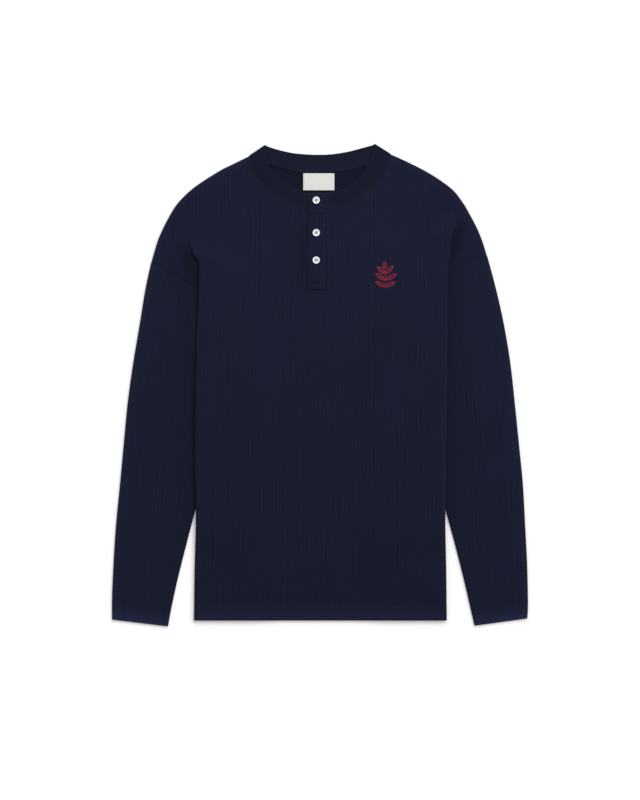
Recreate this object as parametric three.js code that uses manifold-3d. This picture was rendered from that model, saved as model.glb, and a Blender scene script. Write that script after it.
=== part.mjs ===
// A long-sleeved thermal henley top, laid flat on its back with its front up.
// Millimetres. +X is to the right of the laid garment, +Y towards the neck, +Z up.
// The surface that it lies on is z = 0.
//
// The body is a tube of cloth, front and back, pressed flat. Each side of the tube is folded
// under, and the flat sleeves lie beneath those folds. So every cross-section of the body is
// one folded path, and the front and the back are the two walls on either side of that path.
import * as THREE from "three";
import Module from "manifold-3d";

// Cloth
const CLOTH = 1.2; // wall of the knit
const GAP = 0.3; // between pieces, and between layers that lie on each other
const RIB_PITCH = 5.8; // from one raised rib of the knit to the next
const RIB_HEIGHT = 0.35;
const HEM_DEPTH = 21; // turned-up hem of the body and of each cuff
const HEM_RISE = 0.4; // how far the doubled hem stands above the single cloth
const EDGE_ROUND = 1; // width over which a cut or folded edge thins to its lip
const EDGE_LIP = 0.45; // share of the wall that is left at the lip

// Folds
const MID = CLOTH + GAP / 2; // height of the path where two layers lie on the floor
const HALF = CLOTH + GAP / 2; // from the path to the outside of either wall
const TOP_TURN = 1.5; // radius of the path round the body's side edge
const UNDER_TURN = 1.7; // radius of the path at the inner end of the armpit pleat
const SLEEVE_STACK = 2 * UNDER_TURN; // what the sleeve lifts the folded side by
const RAMP = 60; // width over which the body sinks from the folded side to its middle
const FLAT_MARGIN = 8; // the folded side stays level this far past its inner end
const FLANGE = 70; // width of body cloth turned under at each side, down to the side seam
const UNDERARM_Y = 80; // where armhole seam and side seam meet, under the body

// Body
const HEM_Y = -347.4;
const YOKE_Y = 256; // below this the cross-sections of the body are straight across
const SHOULDER_CORNER_Y = 266.4; // where the first straight section's ends meet the shoulder
const NECK_SEAM_OUT = 104; // from the centre to where the neckband's seam meets the shoulder

// Neckband, a double strip of rib
const BAND_WALL = 2;
const BAND_TURN = (BAND_WALL + GAP) / 2; // radius of its fold at each shoulder
const BAND_END_X = -20; // where its two ends meet at the placket

// Placket, buttons and label
const PLACKET = { left: -17.8, right: 7.8, top: 263.6, bottom: 142, wall: 1.4 };
const PLACKET_XS = [-14.5, -11, -5, 1.4]; // lines of points down it, between its edges
const VALLEY = { x: -24, halfWidth: 9, depth: 0.8, fade: 25 }; // soft trough beside the placket
const LOFT = 0.9; // how far the front's chest stands off the back
const CHEST = { x: -5, halfWidth: 95, fade: 70, bottom: 40, rise: 120 }; // where it does so
const SPAN = { share: 0.375, blend: 60 }; // how much of the dip between the sides it spans
const BUTTON = { radius: 5.5, wall: 2.4, rim: 1.1, dish: 0.6, hole: 0.75, holeAt: 1.5, x: -5.5 };
const BUTTON_YS = [273.8, 225.6, 185];
const BUTTON_EDGE = { under: 1, underRise: 0.7, over: 0.5, dishRun: 0.8 }; // its rounded edges
const BUTTON_STEPS = 16; // points round its rim
const HOLE_STEPS = 6; // points round each hole
const LABEL = { left: -24.8, right: 21.4, top: 313.8, bottom: 288.6, wall: 0.8 };
const LABEL_MIDDLE = { x: -1.7, y: 301.2 };
const LIP_SHARE = 0.6; // of a thin piece's wall, left at its edge

// What differs between the two sides of the laid garment. "out" is the distance from the
// centre line. "shoulder" is the top edge from the neckband outwards, and below it the
// outer edge as far as the armhole seam. "edge" is the body's folded side edge. "pleat" is
// how far the path has turned down at the armpit crease, and how deep the pleat is.
const LEFT = {
  name: "left",
  side: -1,
  shoulder: [
    { out: 104, y: 339.5 }, { out: 126.2, y: 328.6 }, { out: 144.4, y: 319.7 },
    { out: 159.3, y: 310.8 }, { out: 173.2, y: 301.9 }, { out: 185.8, y: 293 },
    { out: 196.3, y: 284.2 }, { out: 205.3, y: 275.3 }, { out: 212.6, y: 266.4 },
    { out: 219.3, y: 256 }, { out: 230.5, y: 235 }, { out: 239.3, y: 215 },
    { out: 244.8, y: 197 }, { out: 249, y: 182 },
  ],
  armhole: [
    { out: 249, y: 182 }, { out: 227.5, y: 170 }, { out: 191, y: 151 },
    { out: 152, y: 115 }, { out: 115.2, y: UNDERARM_Y },
  ],
  edge: [
    { y: 212, out: 194.3 }, { y: 193, out: 186.6 }, { y: 182, out: 179.2 },
    { y: 171, out: 178.7 }, { y: 80, out: 181.7 }, { y: -96, out: 185.4 },
    { y: -200, out: 183.4 }, { y: -266, out: 185.2 }, { y: HEM_Y, out: 186.3 },
  ],
  pleat: [
    { y: 215, turn: 4, depth: 1 }, { y: 206, turn: 45, depth: 1 },
    { y: 198, turn: 100, depth: 1.2 }, { y: 192, turn: 140, depth: 1.5 },
    { y: 186, turn: 180, depth: 3 }, { y: 170, turn: 180, depth: 14 },
    { y: 151, turn: 180, depth: 26 }, { y: 115, turn: 180, depth: 49 },
    { y: UNDERARM_Y, turn: 180, depth: FLANGE },
  ],
  sleeveOuter: [
    { y: 182, out: 249 }, { y: 148, out: 257 }, { y: 88.8, out: 266.8 },
    { y: 29.6, out: 276.7 }, { y: -29.6, out: 284.7 }, { y: -88.8, out: 290.3 },
    { y: -148, out: 295.9 }, { y: -207, out: 301.6 }, { y: -266, out: 305.4 },
    { y: -326, out: 307.6 }, { y: -346.2, out: 307.5 },
  ],
  sleeveInner: [
    { y: UNDERARM_Y, out: 115.2 }, { y: -185, out: 184.5 }, { y: -237, out: 198 },
    { y: -296, out: 212.6 }, { y: -340, out: 221.8 }, { y: -356.2, out: 224.6 },
  ],
};
const RIGHT = {
  name: "right",
  side: 1,
  shoulder: [
    { out: 104, y: 342 }, { out: 114.8, y: 337.4 }, { out: 133.6, y: 328.6 },
    { out: 151.2, y: 319.7 }, { out: 166.7, y: 310.8 }, { out: 180.2, y: 301.9 },
    { out: 192.2, y: 293 }, { out: 201.4, y: 284.2 }, { out: 207.9, y: 275.3 },
    { out: 214.1, y: 266.4 }, { out: 219.9, y: 256 }, { out: 231.2, y: 235 },
    { out: 239.6, y: 215 }, { out: 246.8, y: 192 },
  ],
  armhole: [
    { out: 246.8, y: 192 }, { out: 222, y: 186 }, { out: 210.5, y: 182 },
    { out: 194, y: 170 }, { out: 178, y: 151 }, { out: 149.5, y: 115 },
    { out: 120.7, y: UNDERARM_Y },
  ],
  edge: [
    { y: 250, out: 206.1 }, { y: 237, out: 200.2 }, { y: 220, out: 194.8 },
    { y: 189, out: 191.3 }, { y: 177, out: 188.9 }, { y: 80, out: 188.3 },
    { y: -87, out: 186.4 }, { y: -200, out: 185.3 }, { y: -266, out: 186.7 },
    { y: HEM_Y, out: 187.6 },
  ],
  pleat: [
    { y: 256, turn: 4, depth: 1 }, { y: 240, turn: 50, depth: 1 },
    { y: 225, turn: 120, depth: 1.5 },
    { y: 215, turn: 180, depth: 4 }, { y: 182, turn: 180, depth: 18 },
    { y: 151, turn: 180, depth: 34 }, { y: 115, turn: 180, depth: 53 },
    { y: UNDERARM_Y, turn: 180, depth: FLANGE },
  ],
  sleeveOuter: [
    { y: 192, out: 246.8 }, { y: 148, out: 259.2 }, { y: 88.8, out: 272.5 },
    { y: 29.6, out: 282.2 }, { y: -29.6, out: 288.7 }, { y: -88.8, out: 294.7 },
    { y: -148, out: 300.4 }, { y: -207, out: 303.6 }, { y: -266, out: 306.6 },
    { y: -326, out: 307.8 }, { y: -344.4, out: 306.9 },
  ],
  sleeveInner: [
    { y: UNDERARM_Y, out: 120.7 }, { y: -185, out: 186.2 }, { y: -237, out: 200.2 },
    { y: -296, out: 215 }, { y: -340, out: 225 }, { y: -355.2, out: 228.7 },
  ],
};

// How high the folded sides lie above the floor: on the sleeves, then down on the floor.
const SIDE_LIFT = [
  { y: UNDERARM_Y, lift: SLEEVE_STACK }, { y: -188, lift: SLEEVE_STACK },
  { y: -262, lift: 0 }, { y: HEM_Y, lift: 0 },
];

// The seam between the neckband and each panel, across the garment
const FRONT_NECKLINE = [
  { x: -NECK_SEAM_OUT, y: 339.5 }, { x: -97.3, y: 315.2 }, { x: -70.7, y: 288.6 },
  { x: -42.6, y: 270.8 }, { x: -20, y: 264.2 }, { x: 10.7, y: 264.2 },
  { x: 38.9, y: 270.8 }, { x: 67, y: 288.6 }, { x: 93.6, y: 315.2 },
  { x: NECK_SEAM_OUT, y: 342 },
];
const BACK_NECKLINE = [
  { x: -NECK_SEAM_OUT, y: 339.5 }, { x: -73.6, y: 327.1 }, { x: -30.7, y: 315.6 },
  { x: 0, y: 314.6 }, { x: 30.7, y: 316.4 }, { x: 69.9, y: 326.5 },
  { x: NECK_SEAM_OUT, y: 342 },
];
// The neckband's free edge, in front and behind
const BAND_FRONT_LEFT = [
  { x: BAND_END_X, y: 284.4 }, { x: -39.6, y: 291.6 }, { x: -57.3, y: 302.8 },
  { x: -74.4, y: 321.2 }, { x: -80.5, y: 335 }, { x: -81, y: 352 },
];
const BAND_FRONT_RIGHT = [
  { x: BAND_END_X, y: 284.4 }, { x: 0, y: 284.9 }, { x: 27, y: 288.2 },
  { x: 46.3, y: 296.4 }, { x: 61.6, y: 312.3 }, { x: 70.4, y: 327.1 },
  { x: 77.3, y: 340.4 }, { x: 81, y: 354.2 },
];
const BAND_BACK = [
  { x: -81, y: 352 }, { x: -64.8, y: 348.2 }, { x: -41, y: 343.6 },
  { x: -17.4, y: 341.8 }, { x: 0, y: 341.4 }, { x: 18.1, y: 342.2 },
  { x: 42, y: 345.6 }, { x: 65.5, y: 350.9 }, { x: 81, y: 354.2 },
];

// Heights (y) of the body's straight cross-sections, from the yoke to the underarm point
const UPPER_YS = [YOKE_Y, 240, 225, 215, 206, 198, 192, 186, 182, 170, 151, 115, UNDERARM_Y];
// and on to the hem
const LOWER_YS = [
  -60, -188, -262, HEM_Y + HEM_DEPTH + EDGE_ROUND, HEM_Y + HEM_DEPTH, HEM_Y + EDGE_ROUND,
  HEM_Y,
];
// Sections that the flat middle of the body can do without
const SIDES_ONLY_YS = new Set([240, 225, 206, 198, 192, 186, 170, -60]);
// and those that only the fold itself needs
const FOLD_ONLY_YS = new Set([240, 206, 192, 186]);
const YOKE_STEPS = [0, 0.04, 0.45]; // curved sections above the yoke, as shares of the way
const YOKE_END = 0.85; // past this share of their width they ease onto the shoulder's outline

// Ribs of the front
const FULL_RIBS = 29; // from the centre line to where the side's own points begin
const SHOULDER_RIBS = 5; // outside the armpit crease
const LOWEST_SHOULDER_RIB_Y = 140;
const RIB_CLEAR = 2; // they end this far from the placket
const DENSE_OUT = 122; // the middle reaches this far from the centre line

const NECK_STEPS = 27; // points on the smooth line of each neck seam
const TURN_SHARES = [0.25, 0.5, 0.75, 1]; // steps round a fold of the path

const mix = (a, b, t) => a + (b - a) * t;
const clamp01 = (t) => Math.min(1, Math.max(0, t));
const smooth = (t) => {
  const s = clamp01(t);
  return s * s * (3 - 2 * s);
};
const radians = (degrees) => (degrees * Math.PI) / 180;

// Straight-line reading of a table, by one named column from another
function read(table, by, at, column) {
  const rising = table[0][by] < table[table.length - 1][by];
  const rows = rising ? table : [...table].reverse();
  if (at <= rows[0][by]) return rows[0][column];
  for (let i = 1; i < rows.length; i++) {
    if (at <= rows[i][by]) {
      const t = (at - rows[i - 1][by]) / (rows[i][by] - rows[i - 1][by]);
      return mix(rows[i - 1][column], rows[i][column], t);
    }
  }
  return rows[rows.length - 1][column];
}

// A point at a share of the length of a line of points with columns a and b
function along(points, a, b, share) {
  const lengths = points.slice(1).map((p, i) => Math.hypot(p[a] - points[i][a], p[b] - points[i][b]));
  let left = share * lengths.reduce((sum, l) => sum + l, 0);
  for (let i = 0; i < lengths.length; i++) {
    if (left <= lengths[i] || i === lengths.length - 1) {
      const t = left / lengths[i];
      return [mix(points[i][a], points[i + 1][a], t), mix(points[i][b], points[i + 1][b], t)];
    }
    left -= lengths[i];
  }
}

// The share of a line's length at which each of its points lies
function shares(points, a, b) {
  const lengths = points.slice(1).map((p, i) => Math.hypot(p[a] - points[i][a], p[b] - points[i][b]));
  const whole = lengths.reduce((sum, l) => sum + l, 0);
  let run = 0;
  return [0, ...lengths.map((l) => (run += l) / whole)];
}

// A smooth line of points through a table
function curve(table, a, b, count) {
  const line = new THREE.SplineCurve(table.map((row) => new THREE.Vector2(row[a], row[b])));
  return Array.from({ length: count + 1 }, (_, i) => {
    const p = line.getPoint(i / count);
    return { [a]: p.x, [b]: p.y };
  });
}

const FRONT_SEAM = curve(FRONT_NECKLINE, "x", "y", NECK_STEPS);
const BACK_SEAM = curve(BACK_NECKLINE, "x", "y", NECK_STEPS);

// Where a straight section of the body ends: at the outer edge, or at the armhole seam
function sectionEnd(half, y) {
  return y >= half.armhole[0].y
    ? read(half.shoulder, "y", y, "out")
    : read(half.armhole, "y", y, "out");
}

// The folded path of one side of the body at height y, as the few sizes that fix it
function foldAt(half, y) {
  const edge = read(half.edge, "y", y, "out");
  if (y < UNDERARM_Y) {
    return {
      turn: Math.PI,
      r1: TOP_TURN,
      r2: UNDER_TURN,
      depth: FLANGE,
      topOut: edge - TOP_TURN - HALF,
      topZ: MID + read(SIDE_LIFT, "y", y, "lift") + 2 * TOP_TURN,
    };
  }
  const turn = radians(read(half.pleat, "y", y, "turn"));
  const depth = read(half.pleat, "y", y, "depth");
  const ease = Math.max(1, Math.PI / 2 / turn);
  const r1 = TOP_TURN * ease;
  const r2 = UNDER_TURN * ease;
  const drop = (r1 + r2) * (1 - Math.cos(turn)) + depth * Math.sin(turn);
  const topOut = edge - (r1 + HALF) * Math.sin(Math.min(turn, Math.PI / 2));
  return { turn, r1, r2, depth, topOut, topZ: MID + drop };
}

// A place on the path: its distance out, its height and the way that its outer side faces.
// part is "top", "turn", "pleat", "inner turn" or "lower". share runs along that part.
function pathPoint(half, y, part, share, endOut) {
  const f = foldAt(half, y);
  const cos = Math.cos(f.turn);
  const sin = Math.sin(f.turn);
  if (part === "top") {
    const out = share;
    const flat = f.topOut - f.depth - FLAT_MARGIN;
    const t = clamp01((out - flat + RAMP) / RAMP);
    const rise = f.topZ - MID;
    const slope = (rise * 6 * t * (1 - t)) / RAMP;
    const length = Math.hypot(1, slope);
    return { out, z: MID + rise * smooth(t), nOut: -slope / length, nZ: 1 / length };
  }
  if (part === "turn") {
    const a = f.turn * share;
    return {
      out: f.topOut + f.r1 * Math.sin(a),
      z: f.topZ - f.r1 * (1 - Math.cos(a)),
      nOut: Math.sin(a),
      nZ: Math.cos(a),
    };
  }
  const out1 = f.topOut + f.r1 * sin;
  const z1 = f.topZ - f.r1 * (1 - cos);
  if (part === "pleat") {
    const run = f.depth * share;
    return { out: out1 + run * cos, z: z1 - run * sin, nOut: sin, nZ: cos };
  }
  const out2 = out1 + f.depth * cos;
  const z2 = z1 - f.depth * sin;
  if (part === "inner turn") {
    const a = f.turn * (1 - share);
    return {
      out: out2 + f.r2 * (sin - Math.sin(a)),
      z: z2 - f.r2 * (Math.cos(a) - cos),
      nOut: Math.sin(a),
      nZ: Math.cos(a),
    };
  }
  return { out: mix(out2 + f.r2 * sin, endOut, share), z: MID, nOut: 0, nZ: 1 };
}

// How far the front stands off the back: over the chest, with the soft trough beside the
// placket, and where it spans the low middle between the folded sides
function loftAt(x, y) {
  const across = smooth((CHEST.halfWidth - Math.abs(x - CHEST.x)) / CHEST.fade);
  const up = smooth((y - CHEST.bottom) / CHEST.rise);
  const fromValley = (x - VALLEY.x) / VALLEY.halfWidth;
  const trough = Math.exp(-(fromValley ** 2)) * smooth((y - PLACKET.bottom) / VALLEY.fade + 1);
  const chest = Math.max(0, LOFT * across - VALLEY.depth * trough) * up;
  const [leftDip, rightDip] = [LEFT, RIGHT].map((half) => {
    const foldY = Math.min(y, YOKE_Y);
    return foldAt(half, foldY).topZ - pathPoint(half, foldY, "top", Math.abs(x)).z;
  });
  return chest + SPAN.share * mix(leftDip, rightDip, smooth(x / (2 * SPAN.blend) + 0.5));
}

// The height of the front's or the back's top edge above a distance out from the centre
function topEdgeY(half, out, neckline) {
  return out <= NECK_SEAM_OUT
    ? read(neckline, "x", half.side * out, "y")
    : read(half.shoulder, "out", out, "y");
}

// The body's cross-sections, from the top edge to the hem
const SECTIONS = [
  ...YOKE_STEPS.map((step) => ({ y: mix(SHOULDER_CORNER_Y, YOKE_Y, step), step, all: true })),
  ...UPPER_YS.map((y) => ({ y, step: 1, all: !SIDES_ONLY_YS.has(y), fold: FOLD_ONLY_YS.has(y) })),
  ...LOWER_YS.map((y) => ({ y, step: 1, all: !SIDES_ONLY_YS.has(y) })),
];
const UNDERARM = SECTIONS.findIndex((s) => s.y === UNDERARM_Y);
const LAST = SECTIONS.length - 1;

// The parts of the path in their order, and numbers that rank places within and between them
const PART_ORDER = ["top", "turn", "pleat", "inner turn", "lower"];
const LAST_OUT = 900;
const PART_SPAN = 1000;

// The lines of points that run down one half of a panel, from the centre outwards. On the
// outside of the front they follow the ribs, and the plain walls have fewer.
function halfColumns(ribbed) {
  const step = ribbed ? RIB_PITCH / 2 : 2 * RIB_PITCH;
  const lastStep = ribbed ? 2 * FULL_RIBS : Math.floor(FULL_RIBS / 2);
  const lastRib = FULL_RIBS * RIB_PITCH;
  const columns = [];
  for (let k = 0; k <= lastStep; k++) {
    const out = k * step;
    const rib = ribbed && k % 2 === 0;
    columns.push({ part: "top", out, rib, dense: out > DENSE_OUT, to: LAST });
  }
  for (const share of [0.5, 1]) {
    columns.push({ part: "top", share, from: lastRib, dense: true, to: LAST });
  }
  for (const share of TURN_SHARES) columns.push({ part: "turn", share, dense: true, to: LAST });
  columns.push({ part: "pleat", share: 1 - EDGE_ROUND / FLANGE, dense: true, to: LAST });
  columns.push({ part: "pleat", share: 1, dense: true, to: LAST, seam: true });
  const tongue = { dense: true, to: UNDERARM };
  for (const share of TURN_SHARES) columns.push({ part: "inner turn", share, ...tongue });
  const count = ribbed ? 2 * SHOULDER_RIBS : 2;
  for (let k = 1; k <= count; k++) {
    const rib = ribbed && k % 2 === 1;
    columns.push({ part: "lower", share: k / count, inset: EDGE_ROUND, rib, ...tongue });
  }
  columns.push({ part: "lower", share: 1, inset: 0, lip: true, ...tongue });
  return columns;
}

// One point of a panel's wall. layer is 1 for the front and -1 for the back.
function panelPoint(half, column, index, panel, outside) {
  const section = SECTIONS[index];
  const end = sectionEnd(half, section.y) - GAP / 2;
  let place;
  if (column.part === "top") {
    const fold = foldAt(half, section.y);
    const out = column.out ?? mix(column.from, fold.topOut, column.share);
    place = pathPoint(half, section.y, "top", out);
  } else {
    place = pathPoint(half, section.y, column.part, column.share, end - (column.inset ?? 0));
  }
  const x = half.side * place.out;
  let y = section.y;
  if (section.step < 1) {
    const ease = smooth((place.out / end - YOKE_END) / (1 - YOKE_END));
    y = mix(topEdgeY(half, place.out, panel.neckline), YOKE_Y, section.step);
    y += (section.y - mix(section.y, YOKE_Y, section.step)) * ease;
  }
  const isFront = panel.layer > 0;
  const onTop = isFront && column.part === "top";
  const onFlange = y < UNDERARM_Y && column.seam;
  const lip = column.lip || index === 0 || index === LAST || onFlange;
  let offset = GAP / 2;
  if (outside) {
    offset += lip ? CLOTH * EDGE_LIP : CLOTH;
    const besidePlacket = x < PLACKET.left - RIB_CLEAR || x > PLACKET.right + RIB_CLEAR;
    const onPlacket = !besidePlacket && y > PLACKET.bottom - RIB_CLEAR;
    const shows = onTop || (isFront && column.part === "lower" && y > LOWEST_SHOULDER_RIB_Y);
    if (column.rib && shows && !lip && !onPlacket) offset += RIB_HEIGHT;
    if (onTop && !lip && y <= HEM_Y + HEM_DEPTH) offset += HEM_RISE;
  }
  offset *= panel.layer;
  const loft = onTop ? loftAt(x, y) : 0;
  return new THREE.Vector3(
    half.side * (place.out + offset * place.nOut),
    y,
    place.z + offset * place.nZ + loft,
  );
}

// Triangles between two lines of points, each a list of { at, id } in rising order of "at"
function zip(faces, a, b, flip) {
  let i = 0;
  let j = 0;
  while (i < a.length - 1 || j < b.length - 1) {
    const stepA = j === b.length - 1 || (i < a.length - 1 && a[i + 1].at <= b[j + 1].at);
    const face = stepA ? [a[i].id, b[j].id, a[++i].id] : [a[i].id, b[j].id, b[++j].id];
    faces.push(flip ? [face[0], face[2], face[1]] : face);
  }
}

function geometryOf(points, faces) {
  const geometry = new THREE.BufferGeometry();
  const places = points.flatMap((p) => [p.x, p.y, p.z]);
  geometry.setAttribute("position", new THREE.Float32BufferAttribute(places, 3));
  geometry.setIndex(faces.flat());
  geometry.computeVertexNormals();
  return geometry;
}

// A panel as one closed wall: an outer and an inner surface, joined along all edges
function panelGeometry(panel) {
  const points = [];
  const faces = [];
  const addSurface = (ribbed, outside) => {
    const columns = halfColumns(ribbed);
    const right = columns.map((column) => ({ half: RIGHT, column }));
    const left = columns.slice(1).map((column) => ({ half: LEFT, column })).reverse();
    const lines = [...left, ...right].map(({ half, column }) => {
      const line = [];
      for (let index = 0; index <= column.to; index++) {
        if (!SECTIONS[index].all && !column.dense) continue;
        if (SECTIONS[index].fold && column.out !== undefined) continue;
        line.push({ at: index, id: points.length });
        points.push(panelPoint(half, column, index, panel, outside));
      }
      return { half, column, line };
    });
    const flip = outside === panel.layer > 0;
    for (let i = 1; i < lines.length; i++) {
      const last = Math.min(lines[i - 1].column.to, lines[i].column.to);
      const [a, b] = [lines[i - 1], lines[i]].map((l) => l.line.filter((p) => p.at <= last));
      zip(faces, a, b, flip);
    }
    return lines;
  };
  const outer = addSurface(panel.layer > 0, true);
  const inner = addSurface(false, false);
  // The order round the edge: across the top, then down each side past the underarm corner
  const place = ({ half, column }) => {
    const part = PART_ORDER.indexOf(column.part);
    const within = column.part === "top" ? (column.out ?? LAST_OUT + column.share) : column.share;
    return half.side * (part * PART_SPAN + within + (column.lip ? 1 : 0));
  };
  const edgeLine = (lines, index) =>
    lines.filter((l) => l.column.to >= index)
      .map((l) => ({ at: place(l), id: l.line.find((p) => p.at === index).id }));
  const up = panel.layer > 0;
  zip(faces, edgeLine(outer, 0), edgeLine(inner, 0), up);
  zip(faces, edgeLine(outer, LAST), edgeLine(inner, LAST), !up);
  for (const half of [LEFT, RIGHT]) {
    const mine = (lines) => lines.filter((l) => l.half === half);
    const ends = (lines) => (half.side > 0 ? lines[lines.length - 1] : lines[0]).line;
    const turned = half.side > 0 ? up : !up;
    zip(faces, ends(mine(outer)), ends(mine(inner)), turned);
    const tongue = (lines) =>
      mine(lines).filter((l) => l.column.to === UNDERARM || l.column.seam)
        .map((l) => ({ at: place(l), id: l.line.find((p) => p.at === UNDERARM).id }));
    zip(faces, tongue(outer), tongue(inner), !up);
    const seam = (lines) =>
      mine(lines).find((l) => l.column.seam).line.filter((p) => p.at >= UNDERARM);
    zip(faces, seam(outer), seam(inner), turned);
  }
  return geometryOf(points, faces);
}

// A closed wall from rings: each section has an outer and an inner ring, both closed
function tubeGeometry(sections) {
  const points = [];
  const faces = [];
  const ring = (places) => {
    const ids = places.map((place) => {
      points.push(place.point);
      return { at: place.at, id: points.length - 1 };
    });
    return [...ids, { at: ids[0].at + 1, id: ids[0].id }];
  };
  const rings = sections.map(({ outer, inner }) => ({ outer: ring(outer), inner: ring(inner) }));
  for (let i = 1; i < rings.length; i++) {
    zip(faces, rings[i - 1].outer, rings[i].outer, false);
    zip(faces, rings[i - 1].inner, rings[i].inner, true);
  }
  zip(faces, rings[0].outer, rings[0].inner, true);
  zip(faces, rings[rings.length - 1].outer, rings[rings.length - 1].inner, false);
  return geometryOf(points, faces);
}

// Sections of a sleeve, from the armhole seam to the cuff: where each one meets the outer and
// the inner edge, how much of the seam's own curve it keeps, and how far the wall has thinned
const SLEEVE_ENDS = [
  { outerY: 0, innerY: 0, curve: 1, shift: GAP, lip: true },
  { outerY: 0, innerY: 0, curve: 1, shift: GAP + EDGE_ROUND },
  { outerY: 145, innerY: 52, curve: 0.6 },
  { outerY: 105, innerY: 24, curve: 0.25 },
  { outerY: 55, innerY: -8, curve: 0.05 },
  { outerY: -10, innerY: -60, curve: 0 },
  { outerY: -95, innerY: -130, curve: 0 },
  { outerY: -180, innerY: -200, curve: 0 },
  { outerY: -260, innerY: -273, curve: 0 },
];
const SLEEVE_RIBS = 17; // raised on the upper layer of each sleeve, from its outer edge inwards
const CROWD = { edge: 6, step: 0.3 }; // where ribs run out at the narrowing inner edge
const SLEEVE_EDGE = CLOTH + GAP / 2; // radius of the outside of a pressed sleeve's edge
// Where each stretch of a sleeve's ring begins, as a share of the way round, and steps there
const ROUND = { upper: 0.02, inner: 0.5, lower: 0.94, outer: 0.95, step: 0.01 };
const ROUND_ACROSS = { ribs: 0.3, plain: 0.4, far: 0.45 };

function sleeveSections(half) {
  const cuff = half.sleeveOuter[half.sleeveOuter.length - 1];
  const cuffInner = half.sleeveInner[half.sleeveInner.length - 1];
  const ends = [
    ...SLEEVE_ENDS,
    ...[
      { up: HEM_DEPTH + EDGE_ROUND }, { up: HEM_DEPTH, hem: true }, { up: EDGE_ROUND, hem: true },
      { up: 0, lip: true },
    ].map((row) => ({ ...row, outerY: cuff.y + row.up, innerY: cuffInner.y + row.up, curve: 0 })),
  ];
  const seamStart = half.armhole[0];
  const seamEnd = half.armhole[half.armhole.length - 1];
  const corners = shares(half.armhole, "out", "y").slice(1, -1);
  return ends.map((end) => {
    const atSeam = end.shift !== undefined;
    const outerY = atSeam ? seamStart.y : end.outerY;
    const innerY = atSeam ? seamEnd.y : end.innerY;
    const outer = new THREE.Vector2(read(half.sleeveOuter, "y", outerY, "out"), outerY);
    const inner = new THREE.Vector2(read(half.sleeveInner, "y", innerY, "out"), innerY);
    const width = outer.distanceTo(inner);
    const seamRun = new THREE.Vector2(seamEnd.out - seamStart.out, seamEnd.y - seamStart.y);
    const away = new THREE.Vector2(-seamRun.y, seamRun.x).normalize();
    // A place across the flat sleeve: from, the distance from its outer edge, and height z
    const place = (from, z) => {
      const share = clamp01(from / width);
      const straight = outer.clone().lerp(inner, share);
      const [seamOut, seamY] = along(half.armhole, "out", "y", share);
      const shift = end.shift ?? 0;
      straight.x += (seamOut - mix(seamStart.out, seamEnd.out, share)) * end.curve + away.x * shift;
      straight.y += (seamY - mix(seamStart.y, seamEnd.y, share)) * end.curve + away.y * shift;
      return new THREE.Vector3(half.side * straight.x, straight.y, z);
    };
    const wall = end.lip ? CLOTH * EDGE_LIP : CLOTH;
    const top = MID + GAP / 2 + wall;
    const bottom = MID - GAP / 2 - wall;
    const turn = (radius, centre, from, to, at) =>
      TURN_SHARES.map((share, i) => {
        const a = mix(from, to, share);
        const point = place(centre + radius * Math.cos(a), MID + radius * Math.sin(a));
        return { at: at + ROUND.step * i, point };
      });
    const ring = (isOuter) => {
      const radius = isOuter ? GAP / 2 + wall : GAP / 2;
      const near = SLEEVE_EDGE;
      const far = width - SLEEVE_EDGE;
      const over = [];
      if (isOuter) {
        for (let k = 1; k <= 2 * SLEEVE_RIBS; k++) {
          const straightOn = near + k * (RIB_PITCH / 2);
          const crowded = far - CROWD.edge - CROWD.step * (2 * SLEEVE_RIBS - k);
          const from = Math.min(straightOn, crowded);
          const rib = k % 2 === 1 && from === straightOn && !end.lip;
          const rise = (rib ? RIB_HEIGHT : 0) + (end.hem ? HEM_RISE : 0);
          const at = ROUND.upper + (ROUND_ACROSS.ribs * k) / (2 * SLEEVE_RIBS);
          over.push({ at, point: place(from, top + rise) });
        }
      } else {
        over.push(...corners.map((share) => ({
          at: ROUND.upper + ROUND_ACROSS.plain * share,
          point: place(width * share, MID + GAP / 2),
        })));
      }
      const under = [...corners].reverse().map((share) => ({
        at: ROUND.lower - ROUND_ACROSS.plain * share,
        point: place(width * share, isOuter ? bottom : MID - GAP / 2),
      }));
      return [
        { at: 0, point: place(near, isOuter ? top : MID + GAP / 2) },
        ...over,
        { at: ROUND_ACROSS.far, point: place(far, isOuter ? top : MID + GAP / 2) },
        ...turn(radius, far, Math.PI / 2, -Math.PI / 2, ROUND.inner),
        ...under,
        { at: ROUND.lower, point: place(near, isOuter ? bottom : MID - GAP / 2) },
        ...turn(radius, near, -Math.PI / 2, (-3 * Math.PI) / 2, ROUND.outer).slice(0, -1),
      ];
    };
    return { outer: ring(true), inner: ring(false) };
  });
}

function sleeveGeometry(half) {
  const geometry = tubeGeometry(sleeveSections(half));
  if (half.side > 0) {
    const index = geometry.index.array;
    for (let i = 0; i < index.length; i += 3) [index[i + 1], index[i + 2]] = [index[i + 2], index[i + 1]];
  }
  return geometry;
}

// The neckband: a flat double strip that runs from the placket up the front, folds over at
// one shoulder, crosses the back and returns. Its edges in plan are the free edge and the seam.
const BAND_STEPS = 12; // along each front run
const BAND_BACK_STEPS = 12;
const BAND_SLANT = 3; // how far the slanted ends run over from free edge to seam
const BAND_SEAM_GAP = 0.45; // a little more than GAP, where two curved edges meet
const BAND_Z_FRONT = 1.5; // underside at the middle of the front, on the back panel
const BAND_Z_SHOULDER = BAND_WALL + GAP; // underside where it lies on its own back run
const BAND_FOLD_STEPS = 6;
const BAND_RISE = { from: 0.45, over: 0.3 }; // shares of a front run in which it climbs
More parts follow.
